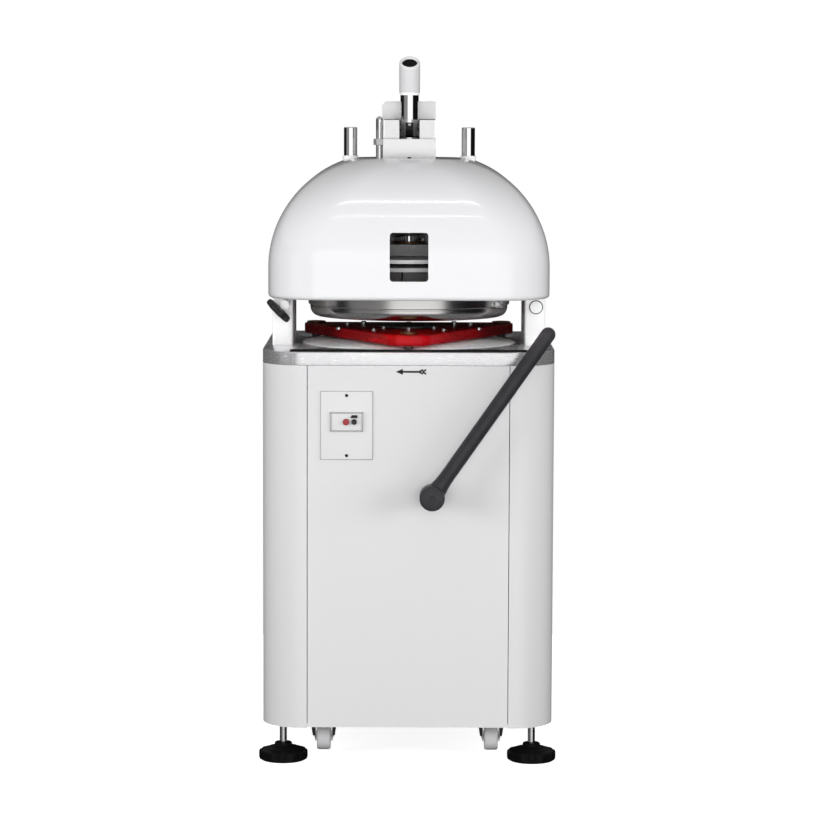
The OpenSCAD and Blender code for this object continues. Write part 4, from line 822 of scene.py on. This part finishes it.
lever_dark = finish("lever_dark", (0.026, 0.025, 0.029), 0.45, shade=0.55, patch=60, fine=420,
                    depth=0.00035, spread=0.35, shine=0.3)
dress(bright_steel, "rounding_shaft")
hub_x, hub_z = 0.050, 0.577
hub = turned("lever_hub", [(0.0101, -0.335), (0.0215, -0.335), (0.0250, -0.3362),
                           (0.0265, -0.3395), (0.0265, -0.3800), (0.0250, -0.3832),
                           (0.0215, -0.3850), (0.0060, -0.3850), (0.0045, -0.3835)],
             sides=72)
hub.data.transform(Matrix.Translation((hub_x, 0, hub_z)) @ Matrix.Rotation(math.pi / 2, 4, "X")
                   @ Matrix.Scale(-1, 4, (0, 0, 1)))
outward(hub)
arm_r, arm_end = 0.0155, 0.418
arm_steps = [(0.0195, 0.012), (0.0186, 0.024), (0.0168, 0.034), (0.0158, 0.046), (arm_r, 0.062),
             (arm_r, arm_end)]
arm_steps += round_end(arm_r, arm_end, 15, 30, 45, 60, 74, 85)
lean = math.radians(35)
arm = turned("lever_arm", arm_steps, at=(hub_x, -0.360, hub_z),
             towards=(math.sin(lean), 0, math.cos(lean)), sides=64)
fit(join("rounding_bar", smooth(hub), arm), lever_dark, "rounding_handle", "lever_black",
    "rounding_lever")


# ---- Switch ----------------------------------------------------------------------------------
# A pale sheet plate screwed on the front panel carries the motor starter: a moulded bezel, a
# red stop button, a black start button and a small hood over it. The plate is left plain.

switch_pale = finish("switch_pale", (0.615, 0.615, 0.612), 0.45, shade=0.015, fine=700,
                     depth=0.00001)
bezel_pale = finish("bezel_pale", (0.60, 0.60, 0.60), 0.35, shade=0.03, fine=700, depth=0.00002)
line_grey = finish("line_grey", (0.36, 0.36, 0.365), 0.5, shade=0.1, fine=700, depth=0.00001)
button_red = finish("button_red", (0.30, 0.006, 0.020), 0.35, shade=0.08, fine=500,
                    depth=0.00002, coat=0.15)
switch_x, switch_z, plate_face, plate_back = -0.130, 0.723, -0.313, -0.3099
card_w, card_h = 0.054, 0.0715
starter_z = switch_z + 0.008


def four_bars(name, z, half_w, half_h, bar, front, back, ease):
    """Four bars round a rectangle on the plate: bottom, top, left and right."""
    return [block(name, (switch_x + left, front, z + low), (switch_x + right, back, z + high), ease)
            for left, low, right, high in (
                (-half_w, -half_h, half_w, bar - half_h), (-half_w, half_h - bar, half_w, half_h),
                (-half_w, -half_h, bar - half_w, half_h), (half_w - bar, -half_h, half_w, half_h))]


fit(block("switch_card", (switch_x - card_w, plate_face, switch_z - card_h),
          (switch_x + card_w, plate_back, switch_z + card_h), 0.0007, 0.003, 1),
    switch_pale, "machine", "white_paint", "switch_plate")
edging = four_bars("plate_edge", switch_z, 0.0552, 0.0727, 0.0012, -0.3113, plate_back, 0.0003)
fit(join("plate_edging", *edging), line_grey, "machine", "black_plastic")
frame_bars = four_bars("bezel_bar", starter_z, 0.035, 0.0205, 0.003, plate_face - 0.004,
                       plate_face + 0.0002, 0.0008)
fit(join("starter_frame", *frame_bars), line_grey, "machine", "black_plastic", "switch_body")
face = block("starter_face", (switch_x - 0.0322, plate_face - 0.0024, starter_z - 0.0177),
             (switch_x + 0.0322, plate_face + 0.0002, starter_z + 0.0177), 0.0004)
fit(face, bezel_pale, "machine", "black_plastic")
stop_x_at, start_x_at = switch_x - 0.001, switch_x + 0.016
fit(turned("stop_cap", [(0.0068, -0.0040), (0.0068, 0.0072), (0.0062, 0.0084),
                        (0.0040, 0.0090), (0.0015, 0.0091)],
           at=(stop_x_at, plate_face, starter_z), towards=(0, -1, 0), sides=48),
    button_red, "stop_push", "red_plastic", "stop_button")
fit(turned("start_cap", [(0.0058, -0.0040), (0.0058, 0.0076), (0.0052, 0.0086),
                         (0.0034, 0.0080), (0.0014, 0.0078)],
           at=(start_x_at, plate_face, starter_z), towards=(0, -1, 0), sides=40),
    knob_black, "start_push", "black_plastic", "start_button")
hood = block("start_hood", (start_x_at - 0.0080, plate_face - 0.0085, starter_z + 0.0084),
             (start_x_at + 0.0072, plate_face - 0.0020, starter_z + 0.0142), 0)
pull(hood, lambda co: co.z > starter_z + 0.012 and co.x < start_x_at, move=(0.0028, 0, 0))
pull(hood, lambda co: co.z > starter_z + 0.012 and co.y < plate_face - 0.005,
     move=(0, 0.003, 0))
fit(break_edges(hood, 0.0008), knob_black, "machine", "black_plastic")


# ---- Screws and gland ------------------------------------------------------------------------
# Button-headed screws hold the dome to its columns, the switch plate and the rear panel. The
# mains lead would leave through the moulded gland low on the rear panel.

screw = turned("screw_head", [(0.0060, 0), (0.0060, 0.0010), (0.0052, 0.0022), (0.0036, 0.0028),
                              (0.0024, 0.0028), (0.0021, 0.0012)], sides=32)


def screws(name, places):
    """Screw heads in one piece, each at its place, along its way and at its size."""
    heads = []
    for x, y, z, way, size in places:
        head = twin(screw, "screw_copy", (0, 0, 0))
        head.data.transform(Matrix.Translation((x, y, z)) @ facing(way) @ Matrix.Scale(size, 4))
        heads.append(head)
    return join(name, *heads)


covers = [(0.300 * a, 0.070 * b, 1.017, (a, 0, 0), 1.0) for a in (-1, 1) for b in (-1, 1)]
covers += [(0.238 * a, 0.310, b, (0, 1, 0), 0.9) for a in (-1, 1) for b in (0.091, 0.463, 0.837)]
plates = [(switch_x, plate_face, switch_z + 0.0635 * b, (0, -1, 0), 0.55) for b in (-1, 1)]
fit(screws("screw_heads", covers), bright_steel, "machine", "chrome_steel", "cover_screws")
fit(screws("plate_screws", plates), fork_black, "machine", "chrome_steel")
bpy.data.objects.remove(screw)
gland_at = Vector((-0.210, 0.310, 0.137))
gland = turned("inlet_gland", [(0.0046, -0.010), (0.0118, -0.010), (0.012, -0.0095),
                               (0.012, -0.0025), (0.0080, -0.002), (0.0080, 0.0), (0.0118, 0.0),
                               (0.012, 0.001), (0.012, 0.0105), (0.0112, 0.012), (0.0092, 0.0125),
                               (0.0088, 0.0185), (0.0076, 0.020), (0.0046, 0.020)],
               at=gland_at, towards=(0, 1, 0), sides=48, closed=True)
for face_turn in range(6):
    bearing = math.pi / 3 * face_turn
    pull(gland, lambda co, b=bearing: 0.3105 < co.y < 0.3218
         and near(math.atan2(co.z - gland_at.z, co.x - gland_at.x), b, 0.2),
         grow=(0.93, 1, 0.93), centre=gland_at)
fit(gland, knob_black, "machine", "black_plastic", "cable_gland")


# ---- Studio ----------------------------------------------------------------------------------
# A plain white floor that runs into a white surround, soft light from the front and above, and
# dark sides that give the chrome its stripes. The camera stands where the photograph's did.

bpy.ops.object.select_all(action="DESELECT")
bpy.ops.mesh.primitive_plane_add(size=2.6, location=(0, 0, 0))
floor = bpy.context.object
floor.name = "studio_floor"
floor_white = bpy.data.materials.new("floor_white")
floor_white.use_nodes = True
floor_skin = floor_white.node_tree.nodes["Principled BSDF"]
for socket, value in (("Base Color", (0.86, 0.86, 0.86, 1)), ("Roughness", 0.8),
                      ("Emission Color", (1, 1, 1, 1)), ("Emission Strength", 0.85)):
    floor_skin.inputs[socket].default_value = value
floor.data.materials.append(floor_white)
floor.visible_diffuse = False
floor.visible_glossy = False

surround = bpy.data.worlds.new("studio_surround")
bpy.context.scene.world = surround
surround.use_nodes = True
tree = surround.node_tree
tree.nodes.clear()


def by_bearing(degrees):
    """Where a bearing lies along a ramp that runs once round."""
    return (degrees + 180) / 360


def by_height(degrees):
    """Where an elevation lies along a ramp that runs from straight down to straight up."""
    return (math.sin(math.radians(degrees)) + 1) / 2


def ramp(place_of, *marks):
    """A ramp of grey levels with a mark at each angle."""
    made = node(tree, "ValToRGB")
    while len(made.color_ramp.elements) < len(marks):
        made.color_ramp.elements.new(0.5)
    for element, (degrees, level) in zip(made.color_ramp.elements, marks):
        element.position = place_of(degrees)
        element.color = (level, level, level, 1)
    return made


def mixed(blend_type):
    """A mix of two colours at full strength."""
    made = node(tree, "Mix")
    made.data_type = "RGBA"
    made.blend_type = blend_type
    made.inputs[0].default_value = 1.0
    return made


out = node(tree, "OutputWorld")
pick = node(tree, "MixShader")
ray = node(tree, "LightPath")
seen = node(tree, "Background", {"Strength": 1.0, "Color": (1, 1, 1, 1)})
lit = node(tree, "Background")
way = node(tree, "TexCoord")
parts = node(tree, "SeparateXYZ")
front = node(tree, "Math", {1: -1.0})
front.operation = "MULTIPLY"
bearing = node(tree, "Math")
bearing.operation = "ARCTAN2"
share = node(tree, "MapRange", {"From Min": -math.pi, "From Max": math.pi})
rise = node(tree, "MapRange", {"From Min": -1.0})
walls = ramp(by_bearing, (-180, 0.012), (-76, 0.012), (-70, 0.28), (-26, 0.30), (-20, 1.3),
             (38, 1.3), (43, 0.006), (180, 0.006))
levels = ramp(by_height, (-90, 0.03), (-30, 0.03), (-25, 0.0), (18, 0.0), (21, 0.35), (90, 0.47))
belt = ramp(by_height, (-90, 0), (-25, 1), (18, 0))
belt.color_ramp.interpolation = "CONSTANT"
masked, summed = mixed("MULTIPLY"), mixed("ADD")
wire(tree, (way.outputs["Generated"], parts.inputs["Vector"]),
     (parts.outputs["Y"], front.inputs[0]), (parts.outputs["X"], bearing.inputs[0]),
     (front.outputs["Value"], bearing.inputs[1]), (bearing.outputs["Value"], share.inputs["Value"]),
     (share.outputs["Result"], walls.inputs["Fac"]), (parts.outputs["Z"], rise.inputs["Value"]),
     (rise.outputs["Result"], levels.inputs["Fac"]), (rise.outputs["Result"], belt.inputs["Fac"]),
     (walls.outputs["Color"], masked.inputs[6]), (belt.outputs["Color"], masked.inputs[7]),
     (masked.outputs[2], summed.inputs[6]), (levels.outputs["Color"], summed.inputs[7]),
     (summed.outputs[2], lit.inputs["Color"]), (ray.outputs["Is Camera Ray"], pick.inputs["Fac"]),
     (lit.outputs["Background"], pick.inputs[1]), (seen.outputs["Background"], pick.inputs[2]),
     (pick.outputs["Shader"], out.inputs["Surface"]))

for name, spot, aim, size, watts, cone, mirrored in (
        ("fill_front", (0.0, -4.5, 1.5), (0, 0, 1.0), (3.0, 2.4), 40.0, 180, False),
        ("fill_low", (0.0, -3.0, 0.35), (0, 0, 0.5), (2.4, 0.5), 9.0, 180, False),
        ("fill_left", (-3.2, -2.0, 1.15), (0, 0, 0.9), (2.0, 1.4), 77.0, 180, False),
        ("fill_right", (3.2, -2.0, 1.15), (0, 0, 0.9), (2.0, 1.4), 71.0, 180, False),
        ("fill_back", (0.0, 4.5, 1.8), (0, 0, 0.9), (3.0, 2.0), 60.0, 180, False),
        ("strip_disc", (0.0, -2.4, 1.75), (0, -0.22, 0.886), (0.6, 0.04), 0.22, 3, False),
        ("strip_front", (0.0, -2.03, 3.59), (0, -0.25, 1.17), (1.15, 0.04), 1.3, 180, True),
        ("strip_back", (0.0, -1.20, 4.01), (0, -0.25, 1.19), (1.15, 0.04), 3.4, 180, True)):
    lamp = bpy.data.lights.new(name, "AREA")
    lamp.shape = "RECTANGLE"
    lamp.size, lamp.size_y = size
    lamp.energy = watts
    lamp.spread = math.radians(cone)
    light = placed(name, lamp)
    light.location = spot
    light.rotation_euler = (Vector(aim) - Vector(spot)).to_track_quat("-Z", "Y").to_euler()
    light.visible_glossy = mirrored
    light.visible_camera = False

lens = bpy.data.cameras.new("photo_camera")
lens.lens = 136.6
lens.sensor_width = 36.0
lens.clip_end = 60.0
camera = placed("photo_camera", lens)
camera.matrix_world = (Matrix.Translation((0, -6.790, 1.402))
                       @ Matrix.Rotation(math.radians(84.335), 4, "X")
                       @ Matrix.Rotation(math.radians(0.2), 4, "Z"))
bpy.context.scene.camera = camera
bpy.context.scene.view_settings.view_transform = "Standard"
